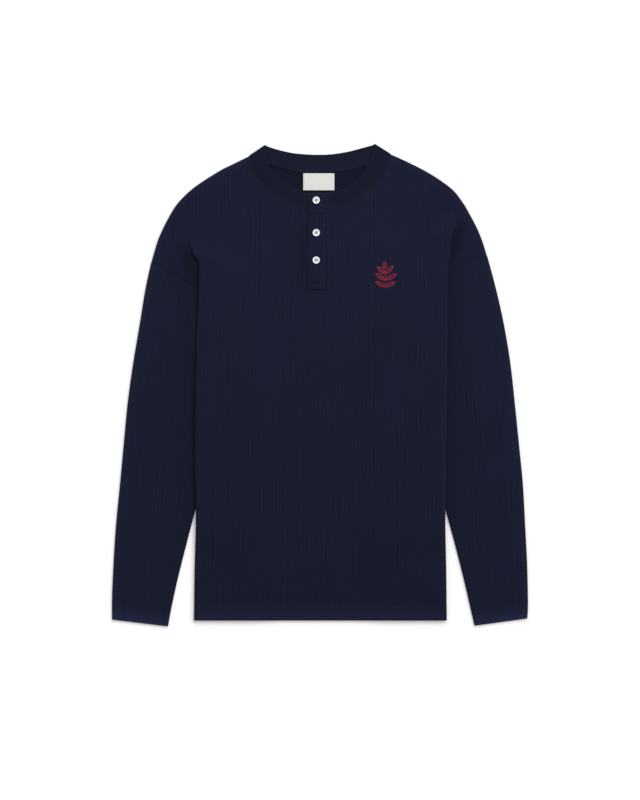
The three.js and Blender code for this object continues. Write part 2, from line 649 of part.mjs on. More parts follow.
// The strip's section: how far across from seam to free edge, and how many walls off its middle
const BAND_SECTION = [
  { across: 0, off: -0.3 }, { across: 0.04, off: -0.5 }, { across: 0.95, off: -0.5 },
  { across: 1, off: -0.2 }, { across: 1, off: 0.2 }, { across: 0.95, off: 0.5 },
  { across: 0.04, off: 0.5 }, { across: 0, off: 0.3 },
];

function neckbandGeometry() {
  const seamAt = (x) => ({ x, y: read(FRONT_SEAM, "x", x, "y") });
  const leftEnd = seamAt(BAND_END_X + BAND_SLANT - GAP);
  const rightEnd = seamAt(BAND_END_X + BAND_SLANT);
  const leftSeam = [leftEnd, ...FRONT_SEAM.filter((row) => row.x < leftEnd.x - 1).reverse()];
  const rightSeam = [rightEnd, ...FRONT_SEAM.filter((row) => row.x > rightEnd.x + 1)];
  const leftFree = BAND_FRONT_LEFT.map((row, i) => (i === 0 ? { x: row.x - GAP, y: row.y } : row));
  const evenly = (line, steps) =>
    Array.from({ length: steps + 1 }, (_, i) => {
      const [x, y] = along(line, "x", "y", i / steps);
      return { x, y };
    });
  const stations = [];
  const frontRun = (free, seamLine, outwards) => {
    const freeCurve = evenly(curve(free, "x", "y", 3 * BAND_STEPS), BAND_STEPS);
    const seamCurve = evenly(seamLine, BAND_STEPS);
    const run = freeCurve.map((edge, i) => {
      const share = i / BAND_STEPS;
      const risen = smooth((share - BAND_RISE.from) / BAND_RISE.over);
      const under = mix(BAND_Z_FRONT, BAND_Z_SHOULDER, risen);
      return { free: edge, seam: seamCurve[i], z: under + BAND_WALL / 2, up: 1, away: [0, 0] };
    });
    return outwards ? run : run.reverse();
  };
  // Half a turn round a shoulder, from the upper run to the lower one or back
  const shoulderFold = (free, seamPoint, downwards) => {
    const line = new THREE.Vector2(free.x - seamPoint.x, free.y - seamPoint.y).normalize();
    const side = Math.sign(free.x);
    const away = [side * line.y, -side * line.x];
    const upperZ = BAND_Z_SHOULDER + BAND_WALL / 2;
    const fold = [];
    for (let i = 1; i < BAND_FOLD_STEPS; i++) {
      const a = (Math.PI * i) / BAND_FOLD_STEPS;
      fold.push({
        free,
        seam: seamPoint,
        z: upperZ - BAND_TURN * (1 - Math.cos(a)),
        up: Math.cos(a),
        away,
        push: BAND_TURN * Math.sin(a),
        lean: Math.sin(a),
      });
    }
    return downwards ? fold : fold.reverse();
  };
  const backFree = evenly(curve(BAND_BACK, "x", "y", 3 * BAND_BACK_STEPS), BAND_BACK_STEPS);
  const backSeam = evenly(BACK_SEAM, BAND_BACK_STEPS);
  const backRun = backFree.map((edge, i) => ({
    free: edge, seam: backSeam[i], z: BAND_WALL / 2, up: -1, away: [0, 0],
  }));
  const left = frontRun(leftFree, leftSeam, true);
  const right = frontRun(BAND_FRONT_RIGHT, rightSeam, false);
  stations.push(...left);
  stations.push(...shoulderFold(left[left.length - 1].free, left[left.length - 1].seam, true));
  stations.push(...backRun);
  stations.push(...shoulderFold(right[0].free, right[0].seam, false));
  stations.push(...right);
  const points = [];
  const faces = [];
  const rings = stations.map((st) => {
    const seamGap = new THREE.Vector2(st.free.x - st.seam.x, st.free.y - st.seam.y);
    seamGap.setLength(BAND_SEAM_GAP);
    return BAND_SECTION.map(({ across, off }) => {
      const move = (st.push ?? 0) + off * BAND_WALL * (st.lean ?? 0);
      const x = mix(st.seam.x + seamGap.x, st.free.x, across) + st.away[0] * move;
      const y = mix(st.seam.y + seamGap.y, st.free.y, across) + st.away[1] * move;
      points.push(new THREE.Vector3(x, y, st.z + off * BAND_WALL * st.up));
      return points.length - 1;
    });
  });
  const count = BAND_SECTION.length;
  for (let i = 1; i < rings.length; i++) {
    for (let k = 0; k < count; k++) {
      const n = (k + 1) % count;
      const [a, b] = [rings[i - 1], rings[i]];
      faces.push([a[k], b[k], b[n]], [a[k], b[n], a[n]]);
    }
  }
  const cap = (ring, flip) => {
    for (let k = 1; k < count - 1; k++) {
      faces.push(flip ? [ring[0], ring[k + 1], ring[k]] : [ring[0], ring[k], ring[k + 1]]);
    }
  };
  cap(rings[0], false);
  cap(rings[rings.length - 1], true);
  return geometryOf(points, faces);
}

// The height of the front's outer surface over its flat middle, without the ribs. It runs
// straight between the sections that cross the whole panel.
const FULL_YS = SECTIONS.filter((s) => s.all && s.step === 1).map((s) => s.y);

function frontTopZ(x, y) {
  const half = x < 0 ? LEFT : RIGHT;
  const heights = FULL_YS.map((rowY) => ({
    y: rowY,
    z: pathPoint(half, rowY, "top", Math.abs(x)).z + HALF + loftAt(x, rowY),
  }));
  return read(heights, "y", y, "z");
}

// A thin piece that lies on a surface of height zAt, with its lips rounded over
function patchGeometry({ left, right, bottom, top, wall }, zAt, insideXs, insideYs) {
  const points = [];
  const faces = [];
  const lip = EDGE_ROUND / 2;
  const xs = [left, left + lip, ...insideXs, right - lip, right];
  const ys = [bottom, bottom + lip, ...insideYs, top - lip, top];
  const sheet = (isTop) =>
    ys.map((y, j) => xs.map((x, i) => {
      const onLip = i === 0 || j === 0 || i === xs.length - 1 || j === ys.length - 1;
      points.push(new THREE.Vector3(x, y, zAt(x, y) + (isTop ? wall * (onLip ? LIP_SHARE : 1) : 0)));
      return points.length - 1;
    }));
  const [upper, lower] = [sheet(true), sheet(false)];
  for (let j = 1; j < ys.length; j++) {
    for (let i = 1; i < xs.length; i++) {
      const quad = (g) => [g[j - 1][i - 1], g[j - 1][i], g[j][i], g[j][i - 1]];
      const [a, b, c, d] = quad(upper);
      const [e, f, g, h] = quad(lower);
      faces.push([a, b, c], [a, c, d], [e, g, f], [e, h, g]);
    }
  }
  const loop = (g) => [
    ...g[0], ...g.slice(1).map((row) => row[row.length - 1]),
    ...g[g.length - 1].slice(0, -1).reverse(), ...g.slice(1, -1).map((row) => row[0]).reverse(),
  ];
  const [over, under] = [loop(upper), loop(lower)];
  for (let k = 0; k < over.length; k++) {
    const n = (k + 1) % over.length;
    faces.push([over[k], under[k], under[n]], [over[k], under[n], over[n]]);
  }
  return geometryOf(points, faces);
}

const wasm = await Module();
wasm.setup();

function manifoldOf(geometry) {
  return new wasm.Manifold(new wasm.Mesh({
    numProp: 3,
    vertProperties: geometry.attributes.position.array,
    triVerts: new Uint32Array(geometry.index.array),
  }));
}

// A turned body about Z, closed on its axis, with one vertex for each place
function turned(profile, steps) {
  const points = [new THREE.Vector3(0, 0, profile[0][1])];
  const faces = [];
  const rim = profile.slice(1, -1);
  for (const [r, z] of rim) {
    for (let i = 0; i < steps; i++) {
      const a = (2 * Math.PI * i) / steps;
      points.push(new THREE.Vector3(r * Math.cos(a), r * Math.sin(a), z));
    }
  }
  points.push(new THREE.Vector3(0, 0, profile[profile.length - 1][1]));
  const id = (row, i) => 1 + row * steps + (i % steps);
  for (let i = 0; i < steps; i++) {
    faces.push([0, id(0, i + 1), id(0, i)]);
    faces.push([points.length - 1, id(rim.length - 1, i), id(rim.length - 1, i + 1)]);
    for (let row = 1; row < rim.length; row++) {
      const [a, b, c, d] = [id(row - 1, i), id(row - 1, i + 1), id(row, i + 1), id(row, i)];
      faces.push([a, b, c], [a, c, d]);
    }
  }
  return geometryOf(points, faces);
}

// A four-hole shirt button with a raised rim and a dished middle
function buttonGeometry() {
  const { radius, wall, rim, dish, hole, holeAt } = BUTTON;
  const { under, underRise, over, dishRun } = BUTTON_EDGE;
  let body = manifoldOf(turned([
    [0, 0], [radius - under, 0], [radius, underRise], [radius, wall - over],
    [radius - over, wall], [radius - rim, wall], [radius - rim - dishRun, wall - dish],
    [0, wall - dish],
  ], BUTTON_STEPS));
  for (const sx of [-1, 1]) {
    for (const sy of [-1, 1]) {
      const [low, high] = [-1, wall + 1];
      const drill = turned([[0, low], [hole, low], [hole, high], [0, high]], HOLE_STEPS);
      const [x, y] = [sx, sy].map((sign) => sign * holeAt * Math.SQRT1_2);
      drill.translate(x, y, 0);
      body = body.subtract(manifoldOf(drill));
    }
  }
  const mesh = body.getMesh();
  const geometry = new THREE.BufferGeometry();
  geometry.setAttribute("position", new THREE.BufferAttribute(mesh.vertProperties, 3));
  geometry.setIndex(new THREE.BufferAttribute(mesh.triVerts, 1));
  geometry.computeVertexNormals();
  return geometry;
}

const COLOURS = { knit: 0x1b1f31, band: 0x1e2236, label: 0xe4e5e0, button: 0xeef0f6 };
const matt = (color, roughness) =>
  new THREE.MeshStandardMaterial({ color, roughness, metalness: 0 });
const knit = matt(COLOURS.knit, 0.95);
const top = new THREE.Group();

function add(name, geometry, material, position = [0, 0, 0]) {
  const mesh = new THREE.Mesh(geometry, material);
  mesh.name = name;
  mesh.position.set(...position);
  top.add(mesh);
}

add("front_panel", panelGeometry({ layer: 1, neckline: FRONT_SEAM }), knit);
add("back_panel", panelGeometry({ layer: -1, neckline: BACK_SEAM }), knit);
for (const half of [LEFT, RIGHT]) add(`sleeve_${half.name}`, sleeveGeometry(half), knit);
add("neckband", neckbandGeometry(), matt(COLOURS.band, 0.95));
const placketYs = FULL_YS.filter((y) => y > PLACKET.bottom + 1 && y < PLACKET.top - 1).reverse();
add("placket",
  patchGeometry(PLACKET, (x, y) => frontTopZ(x, y) + GAP, PLACKET_XS, placketYs),
  knit);
add("label", patchGeometry(LABEL, () => CLOTH + GAP, [LABEL_MIDDLE.x], [LABEL_MIDDLE.y]),
  matt(COLOURS.label, 0.7));
BUTTON_YS.forEach((y, i) => {
  const highest = Math.max(...[-1, 1].map((end) => frontTopZ(BUTTON.x, y + end * BUTTON.radius)));
  const seat = i === 0 ? BAND_Z_FRONT + BAND_WALL : highest + GAP + PLACKET.wall;
  add(`button_${i + 1}`, buttonGeometry(), matt(COLOURS.button, 0.35),
    [BUTTON.x, y, seat + GAP]);
});

export default top;
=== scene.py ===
"""A ribbed thermal henley top laid flat: its cloth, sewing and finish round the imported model.

Sizes in the tables and functions are millimetres in the model's own frame: +X to the right
of the laid garment, +Y towards the neck, +Z up. Meshes are made in metres at the end.
"""

import math

import bmesh
import bpy
import numpy as np
from mathutils import Matrix, Vector


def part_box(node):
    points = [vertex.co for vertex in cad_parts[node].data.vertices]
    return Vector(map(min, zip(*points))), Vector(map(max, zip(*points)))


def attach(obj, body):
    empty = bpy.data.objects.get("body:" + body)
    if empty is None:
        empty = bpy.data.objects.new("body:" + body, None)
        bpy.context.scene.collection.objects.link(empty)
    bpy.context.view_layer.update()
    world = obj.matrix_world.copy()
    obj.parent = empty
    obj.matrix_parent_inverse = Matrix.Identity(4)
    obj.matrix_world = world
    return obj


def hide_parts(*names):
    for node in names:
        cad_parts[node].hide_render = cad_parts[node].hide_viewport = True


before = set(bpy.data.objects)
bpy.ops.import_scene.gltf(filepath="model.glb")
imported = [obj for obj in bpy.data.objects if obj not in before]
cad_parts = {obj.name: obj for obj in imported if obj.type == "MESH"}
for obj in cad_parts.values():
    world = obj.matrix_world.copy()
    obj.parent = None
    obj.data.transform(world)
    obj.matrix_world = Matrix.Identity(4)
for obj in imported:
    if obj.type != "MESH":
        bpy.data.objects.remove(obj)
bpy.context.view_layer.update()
MM = 0.001

# Cloth, as in the solids
CLOTH = 1.2
GAP = 0.3
RIB_PITCH = 5.8
RIB_HEIGHT = 0.35
RIB_SEEN = 0.07  # worn soft between the stitches: the grooves are partly filled
RIB_LOW = RIB_HEIGHT - RIB_SEEN
BACK_GROOVE = 0.3  # the back lies on its rib tops, so its ribs are grooves between them
HEM_DEPTH = 21
HEM_RISE = 0.4
EDGE_LIP = 0.45
EDGE_WALLS = (EDGE_LIP, 0.78, 0.95)  # how much wall is left in the rows next to a free edge
ARMHOLE_WALLS = (0.97, 0.85)
HALF = CLOTH + GAP / 2  # from the middle between two layers to their outer sides
MID = HALF  # how high that middle is, where the layers lie on the floor
TOP_TURN = 1.5
UNDER_TURN = 1.7
SLEEVE_STACK = 2 * UNDER_TURN
RAMP = 60
FLAT_MARGIN = 8
FLANGE = 70
UNDERARM_Y = 80
HEM_Y = -347.4
YOKE_Y = 256
SHOULDER_CORNER_Y = 266.4
NECK_SEAM_OUT = 104
BAND_WALL = 2
BAND_TURN = (BAND_WALL + GAP) / 2
BAND_END_X = -20
BAND_SLANT = 3
SEAM_LAP = 0.15  # pieces overlap by this much at a seam, so that no light comes through
BAND_LAP = 0.5
BAND_Z_FRONT = 1.5
BAND_Z_SHOULDER = BAND_WALL + GAP
PLACKET = {"left": -17.8, "right": 7.8, "top": 263.6, "bottom": 142, "wall": 1.4}
PLACKET_SINK = {"x": -5, "half": 17, "fade": 5, "from": 240, "over": 20, "deep": 0.9}
PLACKET_THIN = {"from": 244, "over": 14, "share": 0.57}  # its wall, where it runs under the band
BAND_TAB = {"left": -17.6, "right": 7.9, "top": 267.4, "bottom": 256.4, "wall": 0.45}
TAB_SLOPE = {"from": 260, "over": 6.5, "top": 3.5}  # the tab comes down to the band's top
VALLEY = {"x": -24, "half_width": 9, "depth": 0.8, "fade": 25}
LOFT = 0.9
CHEST = {"x": -5, "half_width": 95, "fade": 70, "bottom": 40, "rise": 120}
SPAN = {"share": 0.375, "blend": 60, "top": 262, "fade": 130}
BUTTON = {"radius": 5.35, "wall": 2.4, "dish": 0.6, "hole": 0.92, "hole_at": 1.75}
BUTTON_X = -5.5
BUTTON_YS = [273.8, 225.6, 185]
LABEL = {"left": -24.8, "right": 21.4, "top": 313.8, "bottom": 288.6, "wall": 0.8}

# The two sides of the laid garment. Each table is one tuple for each named column.
LEFT = {
    "name": "left",
    "side": -1,
    "shoulder": {
        "out": (104, 126.2, 144.4, 159.3, 173.2, 185.8, 196.3, 205.3, 212.6, 219.3, 230.5,
                239.3, 244.8, 249),
        "y": (339.5, 328.6, 319.7, 310.8, 301.9, 293, 284.2, 275.3, 266.4, 256, 235, 215,
              197, 182),
    },
    "armhole": {
        "out": (249, 227.5, 191, 152, 115.2),
        "y": (182, 170, 151, 115, UNDERARM_Y),
    },
    "edge": {
        "y": (212, 193, 182, 171, 80, -96, -200, -266, HEM_Y),
        "out": (194.3, 186.6, 179.2, 178.7, 181.7, 185.4, 183.4, 185.2, 186.3),
    },
    "pleat": {
        "y": (215, 206, 198, 192, 186, 170, 151, 115, UNDERARM_Y),
        "turn": (4, 45, 100, 140, 180, 180, 180, 180, 180),
        "depth": (0.6, 0.7, 0.8, 0.6, 3, 14, 26, 49, FLANGE),
    },
    "sleeve_outer": {
        "y": (182, 148, 88.8, 29.6, -29.6, -88.8, -148, -207, -266, -326, -346.2),
        "out": (249, 257, 266.8, 276.7, 284.7, 290.3, 295.9, 301.6, 305.4, 307.6, 307.5),
    },
    "sleeve_inner": {
        "y": (UNDERARM_Y, -185, -237, -296, -340, -356.2),
        "out": (115.2, 184.5, 198, 212.6, 221.8, 224.6),
    },
}
RIGHT = {
    "name": "right",
    "side": 1,
    "shoulder": {
        "out": (104, 114.8, 133.6, 151.2, 166.7, 180.2, 192.2, 201.4, 207.9, 214.1, 219.9,
                231.2, 239.6, 246.8),
        "y": (342, 337.4, 328.6, 319.7, 310.8, 301.9, 293, 284.2, 275.3, 266.4, 256, 235,
              215, 192),
    },
    "armhole": {
        "out": (246.8, 222, 210.5, 194, 178, 149.5, 120.7),
        "y": (192, 186, 182, 170, 151, 115, UNDERARM_Y),
    },
    "edge": {
        "y": (250, 237, 220, 189, 177, 80, -87, -200, -266, HEM_Y),
        "out": (206.1, 200.2, 194.8, 191.3, 188.9, 188.3, 186.4, 185.3, 186.7, 187.6),
    },
    "pleat": {
        "y": (256, 240, 225, 215, 182, 151, 115, UNDERARM_Y),
        "turn": (4, 50, 120, 180, 180, 180, 180, 180),
        "depth": (1, 1, 1.5, 4, 18, 34, 53, FLANGE),
    },
    "sleeve_outer": {
        "y": (192, 148, 88.8, 29.6, -29.6, -88.8, -148, -207, -266, -326, -344.4),
        "out": (246.8, 259.2, 272.5, 282.2, 288.7, 294.7, 300.4, 303.6, 306.6, 307.8, 306.9),
    },
    "sleeve_inner": {
        "y": (UNDERARM_Y, -185, -237, -296, -340, -355.2),
        "out": (120.7, 186.2, 200.2, 215, 225, 228.7),
    },
}
SIDE_LIFT = {"y": (UNDERARM_Y, -188, -262, HEM_Y), "lift": (SLEEVE_STACK, SLEEVE_STACK, 0, 0)}
FRONT_NECKLINE = (
    (-NECK_SEAM_OUT, 339.5), (-97.3, 315.2), (-70.7, 288.6), (-42.6, 270.8), (-20, 264.2),
    (10.7, 264.2), (38.9, 270.8), (67, 288.6), (93.6, 315.2), (NECK_SEAM_OUT, 342),
)
BACK_NECKLINE = (
    (-NECK_SEAM_OUT, 339.5), (-73.6, 327.1), (-30.7, 315.6), (0, 314.6), (30.7, 316.4),
    (69.9, 326.5), (NECK_SEAM_OUT, 342),
)
BAND_FRONT_LEFT = (
    (BAND_END_X, 284.4), (-39.6, 291.6), (-57.3, 302.8), (-73.4, 321.2), (-78.9, 335),
    (-79.6, 354.6),
)
BAND_FRONT_RIGHT = (
    (BAND_END_X, 284.4), (0, 284.9), (27, 288.2), (46.3, 296.4), (61.6, 312.3),
    (70.2, 327.1), (76.5, 340.4), (79.7, 356),
)
BAND_BACK = (
    (-79.6, 354.6), (-64.2, 349.4), (-41, 344), (-17.4, 341.8), (0, 341.4), (18.1, 342.2),
    (42, 346), (65, 352), (79.7, 356),
)
SLEEVE_ENDS = {
    "row": (0, 0.02, 0.14, 0.25, 0.36, 0.48, 0.61, 0.74, 0.86, 1),
    "outer_y": ("seam", "seam", 145, 105, 55, -10, -95, -180, -260, "cuff"),
    "inner_y": ("seam", "seam", 52, 24, -8, -60, -130, -200, -273, "cuff"),
    "curve": (1, 1, 0.6, 0.25, 0.05, 0, 0, 0, 0, 0),
}

# Soft troughs and ridges of the laid cloth: from one end to the other, how wide, how high
BODY_FOLDS = (
    {"a": (-172, 150), "b": (-70, 40), "width": 26, "high": 0.55},
    {"a": (-150, -30), "b": (-60, -150), "width": 34, "high": 0.5},
    {"a": (176, 190), "b": (96, 60), "width": 24, "high": 0.6},
    {"a": (160, -10), "b": (60, -120), "width": 36, "high": 0.45},
    {"a": (-165, -255), "b": (-90, -305), "width": 26, "high": -0.35},
    {"a": (110, -270), "b": (172, -325), "width": 24, "high": -0.35},
    {"a": (-30, -190), "b": (50, -300), "width": 42, "high": 0.5},
    {"a": (-120, 290), "b": (-170, 232), "width": 20, "high": 0.35},
    {"a": (120, 300), "b": (178, 262), "width": 18, "high": 0.35},
)
SLEEVE_FOLDS = {
    "left": (
        {"a": (-262, 110), "b": (-205, 60), "width": 12, "high": 0.45},
        {"a": (-284, 10), "b": (-214, -34), "width": 15, "high": 0.5},
        {"a": (-290, -60), "b": (-225, -82), "width": 11, "high": -0.3},
        {"a": (-300, -170), "b": (-226, -232), "width": 17, "high": 0.4},
    ),
    "right": (
        {"a": (262, 130), "b": (206, 74), "width": 13, "high": 0.5},
        {"a": (288, 0), "b": (222, -52), "width": 14, "high": 0.45},
        {"a": (297, -108), "b": (232, -136), "width": 12, "high": -0.3},
        {"a": (303, -190), "b": (238, -256), "width": 16, "high": 0.4},
    ),
}


def mix(a, b, t):
    return a + (b - a) * t


def smooth(t):
    t = np.clip(t, 0, 1)
    return t * t * (3 - 2 * t)


def bell(away, wide):
    """1 in the middle, fading to 0 on both sides."""
    return np.exp(-((away / wide) ** 2))


def read(table, by, at, column):
    """A smooth reading of a table that never overshoots its rows."""
    xs, ys = np.asarray(table[by], float), np.asarray(table[column], float)
    if xs[0] > xs[-1]:
        xs, ys = xs[::-1], ys[::-1]
    run = np.diff(xs)
    rise = np.diff(ys) / run
    lean = np.zeros_like(xs)
    lean[0], lean[-1] = rise[0], rise[-1]
    steady = rise[1:] * rise[:-1] > 0
    before, after = 2 * run[1:] + run[:-1], run[1:] + 2 * run[:-1]
    safe_a = np.where(steady, rise[:-1], 1)
    safe_b = np.where(steady, rise[1:], 1)
    lean[1:-1] = np.where(steady, (before + after) / (before / safe_a + after / safe_b), 0)
    at = np.clip(at, xs[0], xs[-1])
    i = np.clip(np.searchsorted(xs, at) - 1, 0, len(xs) - 2)
    t = (at - xs[i]) / run[i]
    return (
        (1 + 2 * t) * (1 - t) ** 2 * ys[i]
        + t * (1 - t) ** 2 * run[i] * lean[i]
        + t * t * (3 - 2 * t) * ys[i + 1]
        + t * t * (t - 1) * run[i] * lean[i + 1]
    )


def curve(points, count):
    """A smooth line of points through a few, as the solids' own seam lines have it."""
    p = np.asarray(points, float)
    line = []
    for k in range(count + 1):
        at = (len(p) - 1) * k / count
        i = min(int(at), len(p) - 2)
        t = at - i
        p0, p1, p2, p3 = p[max(i - 1, 0)], p[i], p[i + 1], p[min(i + 2, len(p) - 1)]
        v0, v1 = (p2 - p0) / 2, (p3 - p1) / 2
        line.append(
            (2 * p1 - 2 * p2 + v0 + v1) * t**3
            + (-3 * p1 + 3 * p2 - 2 * v0 - v1) * t**2
            + v0 * t
            + p1
        )
    return np.array(line)


def lengths_along(points):
    steps = np.linalg.norm(np.diff(points, axis=0), axis=1)
    return np.concatenate([[0], np.cumsum(steps)])


def evenly(points, count):
    """count + 1 points at even distances along a line of points."""
    run = lengths_along(points)
    at = np.linspace(0, run[-1], count + 1)
    return np.stack([np.interp(at, run, points[:, k]) for k in range(points.shape[1])], 1)


def height_on(line, x):
    return np.interp(x, line[:, 0], line[:, 1])


def point_on(table, y):
    return np.array([float(read(table, "y", y, "out")), y])


SEAM_POINTS = 160
FRONT_SEAM = curve(FRONT_NECKLINE, SEAM_POINTS)
BACK_SEAM = curve(BACK_NECKLINE, SEAM_POINTS)


def section_end(half, y):
    """Where a section of the body ends: at the outer edge, or at the armhole seam."""
    if y >= half["armhole"]["y"][0]:
        return float(read(half["shoulder"], "y", y, "out"))
    return float(read(half["armhole"], "y", y, "out"))


def fold_at(half, y):
    """The folded path of one side of the body at height y, as the sizes that fix it."""
    edge = float(read(half["edge"], "y", y, "out"))
    if y < UNDERARM_Y:
        lift = float(read(SIDE_LIFT, "y", y, "lift"))
        return {
            "turn": math.pi, "r1": TOP_TURN, "r2": UNDER_TURN, "depth": FLANGE,
            "top_out": edge - TOP_TURN - HALF, "top_z": MID + lift + 2 * TOP_TURN,
        }
    turn = math.radians(float(read(half["pleat"], "y", y, "turn")))
    depth = float(read(half["pleat"], "y", y, "depth"))
    ease = max(1, math.pi / 2 / turn)
    r1, r2 = TOP_TURN * ease, UNDER_TURN * ease
    drop = (r1 + r2) * (1 - math.cos(turn)) + depth * math.sin(turn)
    top_out = edge - (r1 + HALF) * math.sin(min(turn, math.pi / 2))
    return {"turn": turn, "r1": r1, "r2": r2, "depth": depth, "top_out": top_out,
            "top_z": MID + drop}


RISE_EVENING = {"step": 4.0, "reach": 56, "wide": 26, "from": 40, "over": 60}
BODY_REACH = (-360.0, 300.0)


def soft_rises(half):
    """How far the fold lifts the top run at each height, evened out along the body above the
    underarm."""
    e = RISE_EVENING
    ys = np.arange(*BODY_REACH, e["step"])
    rises = np.array([fold_at(half, min(y, YOKE_Y))["top_z"] - MID for y in ys])
    weights = bell(np.arange(-e["reach"], e["reach"] + 1, e["step"]), e["wide"])
    even = np.convolve(np.pad(rises, len(weights) // 2, "edge"), weights / weights.sum(), "valid")
    return ys, mix(rises, even, smooth((ys - e["from"]) / e["over"]))


SOFT_RISES = {half["name"]: soft_rises(half) for half in (LEFT, RIGHT)}
OWN_RISE_FROM = 0.3  # past this share of the ramp a section's own rise takes over


def path_points(half, y, part, share, end_out=0.0):
    """Places on the path as columns: out, z, the way its outer side faces, and the distance
    from the centre line along the cloth."""
    f = fold_at(half, y)
    cos, sin = math.cos(f["turn"]), math.sin(f["turn"])
    share = np.asarray(share, float)
    if part == "top":
        flat = f["top_out"] - f["depth"] - FLAT_MARGIN
        t = np.clip((share - flat + RAMP) / RAMP, 0, 1)
        even = np.interp(y, *SOFT_RISES[half["name"]])
        rise = mix(even, f["top_z"] - MID, smooth((t - OWN_RISE_FROM) / (1 - OWN_RISE_FROM)))
        slope = rise * 6 * t * (1 - t) / RAMP
        long = np.hypot(1, slope)
        return share, MID + rise * smooth(t), -slope / long, 1 / long, share
    along = f["top_out"]
    if part == "turn":
        a = f["turn"] * share
        return (f["top_out"] + f["r1"] * np.sin(a), f["top_z"] - f["r1"] * (1 - np.cos(a)),
                np.sin(a), np.cos(a), along + f["r1"] * a)
    along += f["r1"] * f["turn"]
    out1 = f["top_out"] + f["r1"] * sin
    z1 = f["top_z"] - f["r1"] * (1 - cos)
    ones = np.ones_like(share)
    if part == "pleat":
        run = f["depth"] * share
        return out1 + run * cos, z1 - run * sin, sin * ones, cos * ones, along + run
    along += f["depth"]
    out2 = out1 + f["depth"] * cos
    z2 = z1 - f["depth"] * sin
    if part == "inner turn":
        a = f["turn"] * (1 - share)
        return (out2 + f["r2"] * (sin - np.sin(a)), z2 - f["r2"] * (np.cos(a) - cos),
                np.sin(a), np.cos(a), along + f["r2"] * f["turn"] * share)
    along += f["r2"] * f["turn"]
    start = out2 + f["r2"] * sin
    out = mix(start, end_out, share)
    return out, MID * ones, 0 * ones, ones, along + out - start


FOLD_BOW = 0.12  # how far a soft fold bows, as a share of its length
FOLD_END = 0.25  # how far it fades out past its ends, as a share too


def folds_at(folds, x, y):
    """How far the soft troughs and ridges lift the cloth at a place."""
    lift = np.zeros(np.broadcast(x, y).shape)
    for fold in folds:
        (ax, ay), (bx, by) = fold["a"], fold["b"]
        long = math.hypot(bx - ax, by - ay)
        ux, uy = (bx - ax) / long, (by - ay) / long
        t = ((x - ax) * ux + (y - ay) * uy) / long
        off = (y - ay) * ux - (x - ax) * uy
        ends = smooth((t + FOLD_END) / (2 * FOLD_END)) * smooth((1 + FOLD_END - t) / (2 * FOLD_END))
        lift += fold["high"] * ends * bell(off - FOLD_BOW * long * (t - 0.5) ** 2, fold["width"])
    return lift


def loft_at(x, y):
    """How far the front stands off the back."""
    x = np.asarray(x, float)
    across = smooth((CHEST["half_width"] - np.abs(x - CHEST["x"])) / CHEST["fade"])
    up = smooth((y - CHEST["bottom"]) / CHEST["rise"])
    trough = bell(x - VALLEY["x"], VALLEY["half_width"])
    trough = trough * smooth((y - PLACKET["bottom"]) / VALLEY["fade"] + 1)
    chest = np.maximum(0, LOFT * across - VALLEY["depth"] * trough) * up
    under = smooth((PLACKET_SINK["half"] - np.abs(x - PLACKET_SINK["x"])) / PLACKET_SINK["fade"])
    sink = under * smooth((y - PLACKET_SINK["from"]) / PLACKET_SINK["over"])
    chest = np.maximum(0, chest - PLACKET_SINK["deep"] * sink)
    fold_y = min(y, YOKE_Y)
    dips = [
        fold_at(half, fold_y)["top_z"] - path_points(half, fold_y, "top", np.abs(x))[1]
        for half in (LEFT, RIGHT)
    ]
    share = SPAN["share"] * smooth((SPAN["top"] - y) / SPAN["fade"])
    return chest + share * mix(dips[0], dips[1], smooth(x / (2 * SPAN["blend"]) + 0.5))


FOLD_CLEAR = 0.18  # the least that the soft folds leave between the front and the back
FOLD_FADE = {"hem": 40, "above": 40, "shoulder": 60}
RIB_ROUND = 0.7  # makes the crests of the ribs broader than the grooves


def front_lift(x, y, loft):
    """The soft folds of the front, which never press it into the back."""
    f = FOLD_FADE
    fade = smooth((y - HEM_Y) / f["hem"])
    fade = fade * smooth((SHOULDER_CORNER_Y + f["above"] - y) / f["shoulder"])
    return np.maximum(folds_at(BODY_FOLDS, x, y) * fade, -np.maximum(loft - FOLD_CLEAR, 0))


def rib_at(along):
    """The knit's ribs, from 0 in a groove to 1 on a crest."""
    return np.clip(0.5 + 0.5 * np.cos(2 * math.pi * along / RIB_PITCH), 0, 1) ** RIB_ROUND


def front_top(x, y):
    """The height of the front's outer surface at one place, without its ribs."""
    half = LEFT if x < 0 else RIGHT
    loft = float(loft_at(x, y))
    lift = float(front_lift(np.array([x]), y, np.array([loft]))[0])
    return float(path_points(half, min(y, YOKE_Y), "top", abs(x))[1]) + HALF + loft + lift


# How light the cloth is at a place, about 1: painted highlights along the outline, the folded edges
# and the hems, and painted shade beside and under the folds
def hill(x, y, spot):
    """A soft oval spot, 1 at its centre. "way" is its long axis, "wide" and "long" its size."""
    (at_x, at_y), way = spot["at"], spot["way"]
    ux, uy = np.array(way, float) / math.hypot(*way)
    along = (x - at_x) * ux + (y - at_y) * uy
    off = (y - at_y) * ux - (x - at_x) * uy
    return bell(off, spot["wide"]) * bell(along, spot["long"])


def spots_tone(x, y, spots):
    return sum(spot["tone"] * hill(x, y, spot) for spot in spots)


